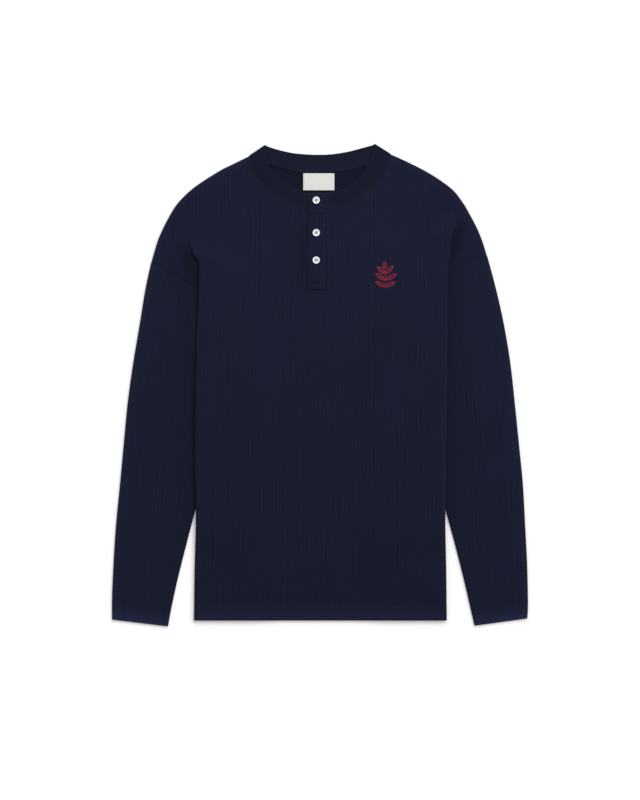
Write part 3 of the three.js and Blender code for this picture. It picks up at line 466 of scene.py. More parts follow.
POCKET_SHADE = {  # painted shade in the hollow outside each armpit crease
    "left": {"at": (-195, 185), "way": (17, -40), "wide": 12, "long": 30, "dark": 0.33},
    "right": {"at": (201.5, 213), "way": (15, 62), "wide": 9.5, "long": 31, "dark": 0.47},
}
# Painted shade on the cloth beside the body's folded sides
BESIDE_SHADE = {"left": {"dark": 0.16, "wide": 32}, "right": {"dark": 0.22, "wide": 26}}
BESIDE_SHADE_TOP = {"y": 215, "fade": 50}
BESIDE_START = {"before": 2, "over": 5}  # where the shade starts at the body's folded edge
SLEEVE_TONE = {"left": 1.02, "right": 1.05}
CUFF_SHINE = 1.7
SEAM_LINE = {"at": (-204, 157.6), "way": (36.5, -19), "wide": 1.3, "long": 13, "dark": 0.45}
# Painted highlight along the body's folded edges, stronger on the right
FOLD_HIGHLIGHT = {"left": 0.03, "right": 0.14}
FOLD_HIGHLIGHT_AT = {"in": 3.5, "wide": 3.5, "top": 205, "fade": 30}
HEM_SHINE = {"light": 0.31, "wide": 26, "over": 18, "edge": 0.35, "edge_wide": 4}
# Painted light and shade on the front: shade in the valley left of the placket, in two low troughs,
# beside the placket's right edge and under its bottom edge, a lighter line below that, painted light
# towards the top and painted shade towards the hem
FRONT_LIGHT_AND_SHADE_SPOTS = (
    {"at": (-24, 192), "way": (0, 1), "wide": 5.5, "long": 46, "tone": -0.24},
    {"at": (-34, 205), "way": (0, 1), "wide": 12, "long": 60, "tone": -0.10},
    {"at": (-138, -252), "way": (1, -0.7), "wide": 16, "long": 30, "tone": -0.07},
    {"at": (150, -305), "way": (1, -0.6), "wide": 14, "long": 26, "tone": -0.07},
    {"at": (9.6, 172), "way": (0, 1), "wide": 1.6, "long": 38, "tone": -0.22},
    {"at": (-5, 140.6), "way": (1, 0), "wide": 1.1, "long": 11, "tone": -0.3},
    {"at": (-5, 138), "way": (1, 0), "wide": 1.2, "long": 10, "tone": 0.16},
    {"at": (0, 210), "way": (1, 0), "wide": 75, "long": 260, "tone": 0.045},
    {"at": (0, -300), "way": (1, 0), "wide": 110, "long": 400, "tone": -0.07},
)


def hem_shine(up):
    """The painted highlight along a hem: how much lighter the cloth is at a distance up from its edge.
    """
    h = HEM_SHINE
    return h["light"] * smooth((h["wide"] - up) / h["over"]) + h["edge"] * bell(up, h["edge_wide"])


def beside_shade_and_seam_line(half, x, y):
    """Painted shade beside the body's folded side and in the armpit hollow, and a dark line along the
    left armhole seam.
    """
    name = half["name"]
    past = np.abs(x) - read(half["edge"], "y", y, "out")
    reach = bell(np.maximum(past, 0), BESIDE_SHADE[name]["wide"])
    reach = reach * smooth((BESIDE_SHADE_TOP["y"] - y) / BESIDE_SHADE_TOP["fade"])
    dark = (BESIDE_SHADE[name]["dark"] * reach + POCKET_SHADE[name]["dark"] * hill(x, y, POCKET_SHADE[name])
            + SEAM_LINE["dark"] * hill(x, y, SEAM_LINE))
    return smooth((past + BESIDE_START["before"]) / BESIDE_START["over"]) * dark


# The front's painted light and shade, about 1: shade beside the folds, highlights along the folded
# edges and the hem, and the spots
def front_light_and_shade(half, x, y):
    f = FOLD_HIGHLIGHT_AT
    from_edge = np.abs(x) - read(half["edge"], "y", y, "out") + f["in"]
    light = FOLD_HIGHLIGHT[half["name"]] * smooth((f["top"] - y) / f["fade"])
    return (1 - beside_shade_and_seam_line(half, x, y) + light * bell(from_edge, f["wide"])
            + spots_tone(x, y, FRONT_LIGHT_AND_SHADE_SPOTS) + hem_shine(y - HEM_Y))


# Meshes
def add_object(name, data):
    obj = bpy.data.objects.new(name, data)
    bpy.context.scene.collection.objects.link(obj)
    return obj


def make_object(name, verts, faces, material, uvs=None, tone=None):
    """A smooth-shaded mesh object in metres. uvs has one pair for each vertex, and tone one
    number."""
    mesh = bpy.data.meshes.new(name)
    mesh.from_pydata((np.asarray(verts) * MM).tolist(), [], [list(map(int, f)) for f in faces])
    mesh.update()
    mesh.polygons.foreach_set("use_smooth", [True] * len(mesh.polygons))
    if uvs is not None:
        layer = mesh.uv_layers.new(name="cloth")
        corners = np.empty(len(mesh.loops), int)
        mesh.loops.foreach_get("vertex_index", corners)
        layer.data.foreach_set("uv", (np.asarray(uvs) * MM)[corners].ravel())
    tones = np.ones(len(verts)) if tone is None else np.asarray(tone, float)
    mesh.attributes.new("tone", "FLOAT", "POINT").data.foreach_set("value", tones)
    obj = add_object(name, mesh)
    mesh.materials.append(material)
    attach(obj, "root")
    return obj


def shell_faces(shape, mask=None, wrap=False):
    """Quads of a grid of outer and inner points, with a rim along every free edge."""
    rows, columns = shape
    count = rows * columns
    faces, edges = [], {}
    for i in range(rows - 1):
        for j in range(columns if wrap else columns - 1):
            if mask is not None and not mask[i, j]:
                continue
            low, high, k = i * columns, (i + 1) * columns, (j + 1) % columns
            a, b, c, d = low + j, low + k, high + k, high + j
            faces.append((a, b, c, d))
            faces.append((count + d, count + c, count + b, count + a))
            edges.update(dict.fromkeys(((a, b), (b, c), (c, d), (d, a))))
    faces += [(b, a, count + a, count + b) for a, b in edges if (b, a) not in edges]
    return faces


def shell(name, outer, inner, material, uv, tone=None, mask=None, wrap=False, flip=False):
    """A thin closed wall between two grids of points."""
    faces = shell_faces(outer.shape[:2], mask, wrap)
    if flip:
        faces = [f[::-1] for f in faces]
    verts = np.concatenate([outer.reshape(-1, 3), inner.reshape(-1, 3)])
    uvs = np.concatenate([uv.reshape(-1, 2)] * 2)
    tones = np.ones(len(verts)) if tone is None else np.concatenate([tone.ravel()] * 2)
    used = np.zeros(len(verts), bool)
    for f in faces:
        used[list(f)] = True
    new = np.cumsum(used) - 1
    return make_object(name, verts[used], [[new[v] for v in f] for f in faces], material,
                       uvs[used], tones[used])


TUBE_SIDES = 5
TUBE_TAPER = 0.45


def tubes(name, lines, radius, material):
    """Thread: each line of points becomes a closed tube with tapered ends."""
    verts, faces = [], []
    for line in lines:
        line = np.asarray(line, float)
        ways = np.gradient(line, axis=0)
        ways /= np.linalg.norm(ways, axis=1)[:, None]
        side = np.cross(ways, (0, 0, 1))
        side /= np.maximum(np.linalg.norm(side, axis=1)[:, None], 1e-9)
        up = np.cross(side, ways)
        start, last = len(verts), len(line) - 1
        for i, point in enumerate(line):
            r = radius * (TUBE_TAPER if i in (0, last) else 1)
            for k in range(TUBE_SIDES):
                a = 2 * math.pi * (k + 0.5) / TUBE_SIDES
                verts.append(point + r * math.cos(a) * side[i] + r * math.sin(a) * up[i])
        for i in range(last):
            for k in range(TUBE_SIDES):
                n = (k + 1) % TUBE_SIDES
                a, b = start + i * TUBE_SIDES, start + (i + 1) * TUBE_SIDES
                faces.append((a + k, a + n, b + n, b + k))
        faces.append([start + k for k in range(TUBE_SIDES)][::-1])
        faces.append([start + last * TUBE_SIDES + k for k in range(TUBE_SIDES)])
    return make_object(name, verts, [f[::-1] for f in faces], material, None)


STITCH_ARCH = 0.8  # how high a stitch is beside its middle, as a share


def stitch_lines(points, length, gap, rise, sink):
    """A run of sewing along a line of points on the cloth: one short arched thread each."""
    run = lengths_along(points)
    count = max(1, int(run[-1] / (length + gap)))
    pitch = run[-1] / count
    arch = np.array([-sink, rise * STITCH_ARCH, rise, rise * STITCH_ARCH, -sink])
    lines = []
    for k in range(count):
        at = np.linspace(k * pitch + gap / 2, (k + 1) * pitch - gap / 2, len(arch))
        line = np.stack([np.interp(at, run, points[:, j]) for j in range(3)], 1)
        line[:, 2] += arch
        lines.append(line)
    return lines


# Materials
def new_material(name, base, roughness):
    """A material of one colour, and the means to add nodes to it."""
    material = bpy.data.materials.new(name)
    material.use_nodes = True
    nodes = Nodes(material.node_tree)
    nodes.set("Base Color", (*base, 1))
    nodes.set("Roughness", roughness)
    return material, nodes


class Nodes:
    """Short ways to add the nodes of one material."""

    def __init__(self, tree):
        self.tree = tree
        self.shader = tree.nodes["Principled BSDF"]

    def put(self, socket, value):
        """Links a socket to another one, or sets its value."""
        if isinstance(value, bpy.types.NodeSocket):
            self.tree.links.new(value, socket)
        else:
            socket.default_value = value

    def set(self, name, value):
        self.put(self.shader.inputs[name], value)

    def add(self, kind, inputs=None, **settings):
        node = self.tree.nodes.new(kind)
        for key, value in settings.items():
            setattr(node, key, value)
        for key, value in (inputs or {}).items():
            self.put(node.inputs[key], value)
        return node

    def math(self, operation, *values):
        return self.add("ShaderNodeMath", dict(enumerate(values)), operation=operation).outputs[0]

    def vector(self, operation, inputs):
        return self.add("ShaderNodeVectorMath", inputs, operation=operation).outputs[0]

    def wave(self, vector, scale, distortion, **settings):
        inputs = {"Vector": vector, "Scale": scale, "Distortion": distortion}
        return self.add("ShaderNodeTexWave", inputs, **settings)

    def noise(self, vector, scale, detail=2.0, roughness=0.5, stretch=None):
        if stretch:
            vector = self.vector("MULTIPLY", {0: vector, 1: stretch})
        return self.add("ShaderNodeTexNoise", {"Vector": vector, "Scale": scale, "Detail": detail,
                                               "Roughness": roughness}).outputs["Fac"]

    def position(self):
        return self.add("ShaderNodeTexCoord").outputs["Object"]

    def cloth(self):
        """The cloth's own coordinates: across its ribs and along them, in metres."""
        return self.add("ShaderNodeUVMap", uv_map="cloth").outputs[0]

    def bump(self, height, strength, distance):
        bump = self.add("ShaderNodeBump",
                        {"Strength": strength, "Distance": distance, "Height": height})
        self.set("Normal", bump.outputs[0])

    def shaded(self, base, shade):
        self.set("Base Color", self.vector("SCALE", {0: tuple(base), "Scale": shade}))


KNIT_STITCH = {"bead": 0.35, "strength": 0.5, "distance": 0.00022}
KNIT_FUZZ = {"scale": 2600, "detail": 3.0, "roughness": 0.6}
KNIT_FUZZ_HIGH = 0.9
KNIT_CLOUDS = {"scale": 14, "by": 0.16, "least": 0.92}
KNIT_ROUGH = {"least": 0.84, "by": 0.12}
KNIT_GLOSS = {"Specular IOR Level": 0.12, "Sheen Weight": 0.05, "Sheen Roughness": 0.5,
              "Sheen Tint": (0.35, 0.42, 0.75, 1)}
RIB_WANDER = {"stretch": (80, 1.6, 1), "by": 10.0}
RIB_SHOWN = {"stretch": (46, 15, 1), "from": (0.46, 0.66), "to": (0.05, 1.35)}
RIB_STREAKS = {"stretch": (760, 36, 1), "by": 1.9}
# Painted highlight on the rib crests and painted shade in their grooves
RIB_CREST_HIGHLIGHT = {"light": 0.75, "turn": 1.9}
RIB_GROOVE_SHADE = {"light": -0.85, "turn": 0.0}
RIB_LINE_SHARP = 5


def knit_material(name, base, wale, course, streak, rib=RIB_PITCH):
    """Knit cloth: rows of small V stitches, a soft nap, colour that varies along the ribs, and painted
    highlight and shade lines on the ribs.
    """
    material, n = new_material(name, base, KNIT_ROUGH["least"])
    uv = n.cloth()
    split = n.add("ShaderNodeSeparateXYZ", {0: uv})
    across, along = split.outputs[0], split.outputs[1]
    leg = n.math("PINGPONG", n.math("MULTIPLY", across, 1 / (wale * MM)), 0.5)
    courses = n.math("ADD", n.math("MULTIPLY", along, 1 / (course * MM)), leg)
    bead = n.math("SINE", n.math("MULTIPLY", courses, 2 * math.pi))
    groove = n.math("SINE", n.math("MULTIPLY", leg, 2 * math.pi))
    stitch = n.math("MULTIPLY_ADD", bead, KNIT_STITCH["bead"], n.math("ABSOLUTE", groove))
    position = n.position()
    fuzz = n.noise(position, **KNIT_FUZZ)
    n.bump(n.math("MULTIPLY_ADD", fuzz, KNIT_FUZZ_HIGH, stitch), KNIT_STITCH["strength"],
           KNIT_STITCH["distance"])

    wander = n.noise(uv, 1.0, 1.0, stretch=RIB_WANDER["stretch"])
    angle = n.math("MULTIPLY_ADD", across, 2 * math.pi / (rib * MM),
                   n.math("MULTIPLY", wander, RIB_WANDER["by"]))

    # Thin painted highlight lines on the rib crests and painted shade lines in the grooves, shown in
    # patches
    def rib_line(turn):
        wave = n.math("COSINE", n.math("SUBTRACT", angle, turn))
        return n.math("POWER", n.math("MULTIPLY_ADD", wave, -0.5, 0.5), RIB_LINE_SHARP)

    shown = n.add("ShaderNodeMapRange",
                  {"Value": n.noise(uv, 1.0, stretch=RIB_SHOWN["stretch"]),
                   "From Min": RIB_SHOWN["from"][0], "From Max": RIB_SHOWN["from"][1],
                   "To Min": RIB_SHOWN["to"][0], "To Max": RIB_SHOWN["to"][1]}).outputs[0]
    grooves = n.math("MULTIPLY", rib_line(RIB_GROOVE_SHADE["turn"]), RIB_GROOVE_SHADE["light"])
    lines = n.math("MULTIPLY_ADD", rib_line(RIB_CREST_HIGHLIGHT["turn"]), RIB_CREST_HIGHLIGHT["light"], grooves)
    streaks = n.math("SUBTRACT", n.noise(uv, 1.0, 1.0, stretch=RIB_STREAKS["stretch"]), 0.5)
    marks = n.math("MULTIPLY_ADD", streaks, RIB_STREAKS["by"], n.math("MULTIPLY", lines, shown))
    clouds = n.math("MULTIPLY_ADD", n.noise(position, KNIT_CLOUDS["scale"]), KNIT_CLOUDS["by"],
                    KNIT_CLOUDS["least"])
    shade = n.math("MULTIPLY_ADD", marks, streak, clouds)
    # The tone attribute: the painted light and shade, and the plain tones, that the meshes carry
    tone = n.add("ShaderNodeAttribute", attribute_name="tone").outputs["Fac"]
    n.shaded(base, n.math("MULTIPLY", shade, tone))
    n.set("Roughness", n.math("MULTIPLY_ADD", fuzz, KNIT_ROUGH["by"], KNIT_ROUGH["least"]))
    for socket, value in KNIT_GLOSS.items():
        n.set(socket, value)
    return material


def thread_material(name, base, level=0.25):
    material, n = new_material(name, base, 0.6)
    position = n.position()
    twist = n.wave(position, 520, 3.0, wave_type="BANDS", bands_direction="DIAGONAL")
    twist.inputs["Detail"].default_value = 1.0
    n.bump(twist.outputs["Fac"], 0.35, 0.0001)
    n.shaded(base, n.math("MULTIPLY_ADD", n.noise(position, 900), 0.5, 0.75))
    n.set("Specular IOR Level", level)
    return material


def label_material():
    material, n = new_material("woven_label", LABEL_COLOUR, 0.55)
    uv = n.cloth()
    warp = n.wave(uv, 700, 0.4, bands_direction="X").outputs["Fac"]
    weft = n.wave(uv, 460, 0.4, bands_direction="Y").outputs["Fac"]
    n.bump(n.math("MULTIPLY_ADD", warp, 0.6, weft), 0.35, 0.0001)
    threads = n.noise(uv, 1.0, stretch=(900, 60, 1))
    n.shaded(LABEL_COLOUR, n.math("MULTIPLY_ADD", threads, 0.12, 0.94))
    n.set("Sheen Weight", 0.1)
    return material


def button_material():
    material, n = new_material("shirt_button", BUTTON_COLOUR, 0.3)
    position = n.position()
    cloud = n.noise(position, 260, 3.0, 0.6)
    n.shaded(BUTTON_COLOUR, n.math("MULTIPLY_ADD", cloud, 0.14, 0.92))
    n.set("Roughness", n.math("MULTIPLY_ADD", cloud, 0.14, 0.24))
    n.bump(n.noise(position, 1500), 0.12, 0.00005)
    return material


NAVY = (0.0068, 0.0088, 0.0250)
BAND_NAVY = (0.0066, 0.0077, 0.0215)
# A darker copy of the navy for the back, which shows inside the neck opening: painted shade
SHADED_INSIDE_NAVY = (0.0050, 0.0060, 0.0172)
THREAD_NAVY = (0.0060, 0.0076, 0.0195)
LABEL_COLOUR = (0.65, 0.65, 0.622)
BUTTON_COLOUR = (0.80, 0.82, 0.87)
RED = (0.170, 0.003, 0.014)
# The red made lighter for the leaf outlines: painted highlight standing in for the thread's sheen
SHEEN_RED = (0.420, 0.010, 0.042)

KNIT = knit_material("rib_knit", NAVY, 1.45, 1.25, 0.26)
BACK_KNIT = knit_material("rib_knit_reverse_painted_shade", SHADED_INSIDE_NAVY, 1.45, 1.25, 0.2)
BAND_KNIT = knit_material("band_knit", BAND_NAVY, 0.95, 1.0, 0.16, rib=2.6)
THREAD = thread_material("sewing_thread", THREAD_NAVY)
EMBROIDERY = thread_material("embroidery_thread", RED, 0.4)
SHEEN_EMBROIDERY = thread_material("embroidery_outline_thread_painted_sheen", SHEEN_RED, 0.5)
LABEL_WEAVE = label_material()
LABEL_THREAD = thread_material("label_thread", (0.54, 0.54, 0.51))
BUTTON_PLASTIC = button_material()

# The body: each panel is a grid with one row for each section and one column along its path
RIB_STEP = RIB_PITCH / 4
FULL_RIBS = 29
LAST_RIB = FULL_RIBS * RIB_PITCH
YOKE_ROWS = (0, 0.012, 0.035, 0.08, 0.15, 0.23, 0.31, 0.39, 0.47, 0.55, 0.63, 0.71, 0.79,
             0.87, 0.94)
ROW_STEP = 8.0
ARMHOLE_ROWS = (194, 192, 191.6, 191, 190, 188.5, 187, 186, 184.5, 183, 182, 181.3, 180.3, 179,
                177.5, 176, 174, 172, 170, 168)
HEM_ROWS = (HEM_DEPTH + 0.7, HEM_DEPTH - 0.5, 15, 9, 4, 1.6, 0.7, 0.2, 0)  # up from the edge


def body_rows():
    """Each section's own y, and its step down from the top edge: 1 from the yoke down."""
    rows = [(mix(SHOULDER_CORNER_Y, YOKE_Y, s), s) for s in YOKE_ROWS]
    upper = [*np.linspace(YOKE_Y, 196, 14), *ARMHOLE_ROWS, *np.linspace(166, UNDERARM_Y, 21)]
    low = HEM_Y + HEM_DEPTH + 2
    lower = np.linspace(UNDERARM_Y, low, 1 + round((UNDERARM_Y - low) / ROW_STEP))[1:]
    return rows + [(y, 1) for y in [*upper, *lower, *(HEM_Y + np.array(HEM_ROWS))]]


ROWS = body_rows()
UNDERARM_ROW = next(i for i, (y, step) in enumerate(ROWS) if step == 1 and y <= UNDERARM_Y)
PARTS = (
    ("top", np.arange(0, 4 * FULL_RIBS + 1) * RIB_STEP),
    ("rest of top", np.linspace(0, 1, 25)[1:]),
    ("turn", np.linspace(0, 1, 9)[1:]),
    ("pleat", np.concatenate([np.linspace(0, 1, 17)[1:-1], [0.975, 1 - 0.3 / FLANGE, 1]])),
    ("inner turn", np.linspace(0, 1, 9)[1:]),
    ("lower", np.concatenate([np.linspace(0, 1, 27)[1:], [1, 1]])),
)
PART_ENDS = np.cumsum([len(values) for part, values in PARTS])
COLUMNS = np.arange(PART_ENDS[-1])
IS_TOP = COLUMNS < PART_ENDS[1]
IS_LOWER = COLUMNS >= PART_ENDS[4]
SEAM_COLUMN = PART_ENDS[3] - 1  # the last one below the underarm
END_ROUND = 0.8  # how far the two last columns round the end over
END_ROUND_FIRST = 0.75
END_FOLLOWS = 0.85  # past this share of its length a shoulder row keeps to its own height
INSIDE_RIBS_Y = 130  # the ribs of the lower run show above this
RIM_HIGHLIGHT = {"light": 0.27, "wide": 8, "out": 0.9, "up": 0.85}  # painted highlight along the garment's own outline
SEAM_SHADE = {"wide": 3.2, "dark": 0.4, "label": 0.5, "label_wide": 2.4}
NECK_SHADE = {"wide": 9, "dark": 0.07}


def section(half, y):
    """One section's places along its whole path, as path_points has them."""
    top_out = fold_at(half, y)["top_out"]
    end_out = section_end(half, y) - END_ROUND
    places = []
    for part, values in PARTS:
        if part == "rest of top":
            part, values = "top", mix(LAST_RIB, top_out, values)
        places.append(np.array(path_points(half, y, part, values, end_out)))
    out, *others = np.concatenate(places, axis=1)
    out[-2:] += (END_ROUND * END_ROUND_FIRST, END_ROUND)
    return out, *others


def top_edge(half, neckline, out):
    """The height of a panel's top edge: its neckline, and then the shoulder."""
    seam = height_on(neckline, half["side"] * np.minimum(out, NECK_SEAM_OUT))
    return np.where(out <= NECK_SEAM_OUT, seam, read(half["shoulder"], "out", out, "y"))


def wall_left(row):
    """How much of the wall is left along one row, which is less at every free edge."""
    wall = np.ones(len(COLUMNS))
    wall[-2:] = ARMHOLE_WALLS
    if ROWS[row][0] < UNDERARM_Y:
        wall[SEAM_COLUMN] = EDGE_LIP
        wall[SEAM_COLUMN - 1] = ARMHOLE_WALLS[-1]
    from_edge = min(row, len(ROWS) - 1 - row)
    return wall * EDGE_WALLS[from_edge] if from_edge < len(EDGE_WALLS) else wall


def front_relief(x, ys, along, whole):
    """The height of the front's ribs and hem. whole says where the wall is at its full."""
    beside = (x < PLACKET["left"] + 1) | (x > PLACKET["right"] - 1) | (ys < PLACKET["bottom"] + 1)
    shows = IS_TOP | (IS_LOWER & (ys > INSIDE_RIBS_Y))
    ribs = np.where(shows & whole & beside, RIB_LOW + RIB_SEEN * rib_at(along), 0)
    hem = HEM_RISE * smooth((HEM_Y + HEM_DEPTH + 0.9 - ys) / 1.5)
    return ribs + np.where(IS_TOP & whole, hem, 0)


def front_row_tone(half, neckline, y, out, ys, below):
    """The tones of one row of the front: its painted light and shade, with a painted highlight along
    the outline and painted shade under the neckline. below is how far under the top edge it lies.
    """
    x = half["side"] * out
    to_edge = np.minimum((out[-1] - out) * RIM_HIGHLIGHT["out"], below * RIM_HIGHLIGHT["up"])
    outline = (y >= half["armhole"]["y"][0]) & (out > NECK_SEAM_OUT)
    at_neck = bell(height_on(neckline, x) - ys, NECK_SHADE["wide"]) * (out < NECK_SEAM_OUT)
    # Painted highlight along the outline
    rim = RIM_HIGHLIGHT["light"] * bell(to_edge, RIM_HIGHLIGHT["wide"]) * outline
    return front_light_and_shade(half, x, ys) + rim - NECK_SHADE["dark"] * at_neck


def back_row_tone(neckline, x, ys):
    """The tones of one row of the back: painted shade under the band's seam and round the label."""
    s = SEAM_SHADE
    seam = height_on(neckline, np.clip(x, -NECK_SEAM_OUT, NECK_SEAM_OUT))
    across = np.maximum(LABEL["left"] - x, x - LABEL["right"])
    down = np.maximum(LABEL["bottom"] - ys, ys - LABEL["top"])
    off_label = np.maximum(np.maximum(across, down), 0)
    return 1 - s["dark"] * bell(seam - ys, s["wide"]) - s["label"] * bell(off_label, s["label_wide"])


def half_panel(half, layer, neckline):
    """Grids of outer points, inner points, cloth coordinates and tones for half a panel."""
    grids = [], [], [], []
    for row, (y, step) in enumerate(ROWS):
        out, z, n_out, n_z, along = section(half, y)
        x = half["side"] * out
        ys, below = np.full_like(out, y), np.inf
        if step < 1:
            edge_y = top_edge(half, neckline, out)
            past = (out / max(out[-1], 1) - END_FOLLOWS) / (1 - END_FOLLOWS)
            at_end = YOKE_Y + (y - YOKE_Y) * (1 - step)
            ys = mix(edge_y, YOKE_Y, step) + (y - at_end) * smooth(past)
            below = edge_y - ys
        wall = wall_left(row)
        whole = wall > 0.99
        offset = GAP / 2 + CLOTH * wall
        if layer > 0:
            offset = offset + front_relief(x, ys, along, whole)
            loft = np.where(IS_TOP, [float(v) for v in loft_at(x, y)], 0)
            lift = loft + np.where(IS_TOP, front_lift(x, y, loft), 0)
            tone = front_row_tone(half, neckline, y, out, ys, below)
        else:
            offset = offset - np.where(IS_TOP & whole, BACK_GROOVE * (1 - rib_at(along)), 0)
            lift = 0
            tone = back_row_tone(neckline, x, ys)
        outer, inner = (
            np.stack([half["side"] * (out + off * layer * n_out), ys, z + off * layer * n_z + lift], 1)
            for off in (offset, GAP / 2))
        for grid, values in zip(grids, (outer, inner, np.stack([half["side"] * along, ys], 1), tone)):
            grid.append(values)
    return tuple(np.array(grid) for grid in grids)


def body_panel(name, layer, neckline, material):
    right = half_panel(RIGHT, layer, neckline)
    left = half_panel(LEFT, layer, neckline)
    outer, inner, uvs, tones = (np.concatenate([a[:, :0:-1], b], axis=1)
                                for a, b in zip(left, right))
    rows, columns = outer.shape[:2]
    mask = np.ones((rows - 1, columns - 1), bool)
    across = np.abs(np.arange(columns - 1) + 0.5 - COLUMNS[-1])
    mask[UNDERARM_ROW:, across > SEAM_COLUMN] = False
    return shell(name, outer, inner, material, uvs, tones, mask=mask, flip=layer > 0)


front = body_panel("front_cloth", 1, FRONT_SEAM, KNIT)
back = body_panel("back_cloth", -1, BACK_SEAM, BACK_KNIT)
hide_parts("front_panel")
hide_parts("back_panel")

# The sleeves: each is a flat tube, in rings from the armhole to the cuff
SLEEVE_TOP_STEPS = 140
SLEEVE_UNDER_STEPS = 36
SLEEVE_TURN = np.linspace(0, 1, 9)[1:-1]
SLEEVE_TURN_LONG = 2.4
SLEEVE_ROWS = 76
SEAM_ROWS = ((0, 0, 0.85), (0, 0.35, 0.97), (0.006, 0.9, 1), (0.02, 1.5, 1))  # row, off, wall
SEAM_OFF = {"by": 1.5, "until": 0.14, "over": 0.12}
SLEEVE_EDGE_FADE = {"rib": 3, "fold": 14}
SLEEVE_FREE_ROWS = 12  # the soft folds fade out over so many rings at both ends
LEAST_FOLD = -0.1


def sleeve_rows(half):
    """The rows of a sleeve: where each meets the outer and the inner edge, how much of the
    armhole's curve it keeps, how far it stands off the seam and how much wall is left."""
    cuff = {"outer_y": half["sleeve_outer"]["y"][-1], "inner_y": half["sleeve_inner"]["y"][-1]}
    seam = {"outer_y": half["armhole"]["y"][0], "inner_y": half["armhole"]["y"][-1]}
    ends = dict(SLEEVE_ENDS)
    for key in cuff:
        marks = {"seam": seam[key], "cuff": cuff[key] + HEM_DEPTH + 2}
        ends[key] = [marks.get(v, v) for v in ends[key]]
    rows = []

    def add(t, off, wall):
        places = {k: float(read(ends, "row", t, k)) for k in ("outer_y", "inner_y", "curve")}
        rows.append({**places, "shift": off, "wall": wall, "hem": 0.0})

    for t, off, wall in SEAM_ROWS:
        add(t, off - SEAM_LAP, wall)
    for t in np.linspace(SEAM_ROWS[-1][0], 1, SLEEVE_ROWS)[1:]:
        fade = float(smooth((SEAM_OFF["until"] - t) / SEAM_OFF["over"]))
        add(t, (SEAM_OFF["by"] - SEAM_LAP) * fade, 1)
    for k, up in enumerate(HEM_ROWS):
        left = len(HEM_ROWS) - 1 - k
        rows.append({"outer_y": cuff["outer_y"] + up, "inner_y": cuff["inner_y"] + up, "curve": 0.0,
                     "shift": 0.0, "wall": EDGE_WALLS[left] if left < len(EDGE_WALLS) else 1,
                     "hem": float(smooth((HEM_DEPTH + 0.9 - up) / 1.5))})
    for k, row in enumerate(rows):
        row["free"] = float(smooth(k / SLEEVE_FREE_ROWS)
                            * smooth((len(rows) - 1 - k) / SLEEVE_FREE_ROWS))
    return rows


def cuff_line(half, x):
    """The height of the cuff's edge across the sleeve."""
    ends = [(half[key]["out"][-1], half[key]["y"][-1]) for key in ("sleeve_inner", "sleeve_outer")]
    return height_on(np.array(ends), np.abs(x))


def sleeve_ring(half, row):
    """One ring of a sleeve: outer and inner points, cloth coordinates and tones."""
    outer = point_on(half["sleeve_outer"], row["outer_y"])
    inner = point_on(half["sleeve_inner"], row["inner_y"])
    width = float(np.linalg.norm(outer - inner))
    seam_ys = np.linspace(half["armhole"]["y"][0], half["armhole"]["y"][-1], 61)
    seam = np.stack([read(half["armhole"], "y", seam_ys, "out"), seam_ys], 1)
    seam_run = seam[-1] - seam[0]
    away = np.array([-seam_run[1], seam_run[0]]) / np.linalg.norm(seam_run)
    seam_at = lengths_along(seam)
    seam_at /= seam_at[-1]

    def place(distance, z):
        share = np.clip(distance / width, 0, 1)
        straight = outer + (inner - outer) * share[:, None]
        on_seam = np.stack([np.interp(share, seam_at, seam[:, k]) for k in range(2)], 1)
        chord = seam[0] + seam_run * share[:, None]
        flat = straight + (on_seam - chord) * row["curve"] + away * row["shift"]
        return np.stack([half["side"] * flat[:, 0], flat[:, 1], z], 1)

    near, far = HALF, width - HALF
    over = np.linspace(near, far, SLEEVE_TOP_STEPS + 1)
    under = np.linspace(far, near, SLEEVE_UNDER_STEPS + 1)
    inwards = np.minimum(over - near, far - over)
    turn = math.pi * SLEEVE_TURN
    rings = []
    for is_outer in (True, False):
        radius = GAP / 2 + (CLOTH * row["wall"] if is_outer else 0)
        ribbed = is_outer and row["wall"] == 1
        rib = RIB_LOW + RIB_SEEN * rib_at(over) if ribbed else 0 * over
        top = MID + radius + rib * np.clip(inwards / SLEEVE_EDGE_FADE["rib"], 0, 1)
        if is_outer:
            top = top + row["hem"] * HEM_RISE
        upper = place(over, top)
        lift = folds_at(SLEEVE_FOLDS[half["name"]], upper[:, 0], upper[:, 1])
        edge = smooth(inwards / SLEEVE_EDGE_FADE["fold"])
        upper[:, 2] += np.maximum(lift, LEAST_FOLD) * edge * row["free"]
        rings.append(np.concatenate([
            upper,
            place(far + radius * np.sin(turn), MID + radius * np.cos(turn)),
            place(under, np.full_like(under, MID - radius)),
            place(near - radius * np.sin(turn), MID - radius * np.cos(turn)),
        ]))
    x, y = rings[0][:, 0], rings[0][:, 1]
    turned = SLEEVE_TURN_LONG * SLEEVE_TURN
    across = np.concatenate([over, far + turned, 2 * far - under, near - turned])
    uv = np.stack([half["side"] * across, y], 1)
    from_outer = np.concatenate([over, far + 0 * turned, under, near + 0 * turned])
    # Painted shade beside the body, and painted highlights along the outer edge and at the cuff
    tone = (SLEEVE_TONE[half["name"]] - beside_shade_and_seam_line(half, x, y)
            + RIM_HIGHLIGHT["light"] * bell(from_outer, RIM_HIGHLIGHT["wide"])
            + CUFF_SHINE * hem_shine(y - cuff_line(half, x)))
    return rings[0], rings[1], uv, tone


def sleeve(half):
    rings = [sleeve_ring(half, row) for row in sleeve_rows(half)]
    outer, inner, uvs, tones = (np.array(grid) for grid in zip(*rings))
    obj = shell(f"sleeve_cloth_{half['name']}", outer, inner, KNIT, uvs, tones, wrap=True,
                flip=half["side"] > 0)
    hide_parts(f"sleeve_{half['name']}")
    return obj


sleeves = {side["name"]: sleeve(side) for side in (LEFT, RIGHT)}


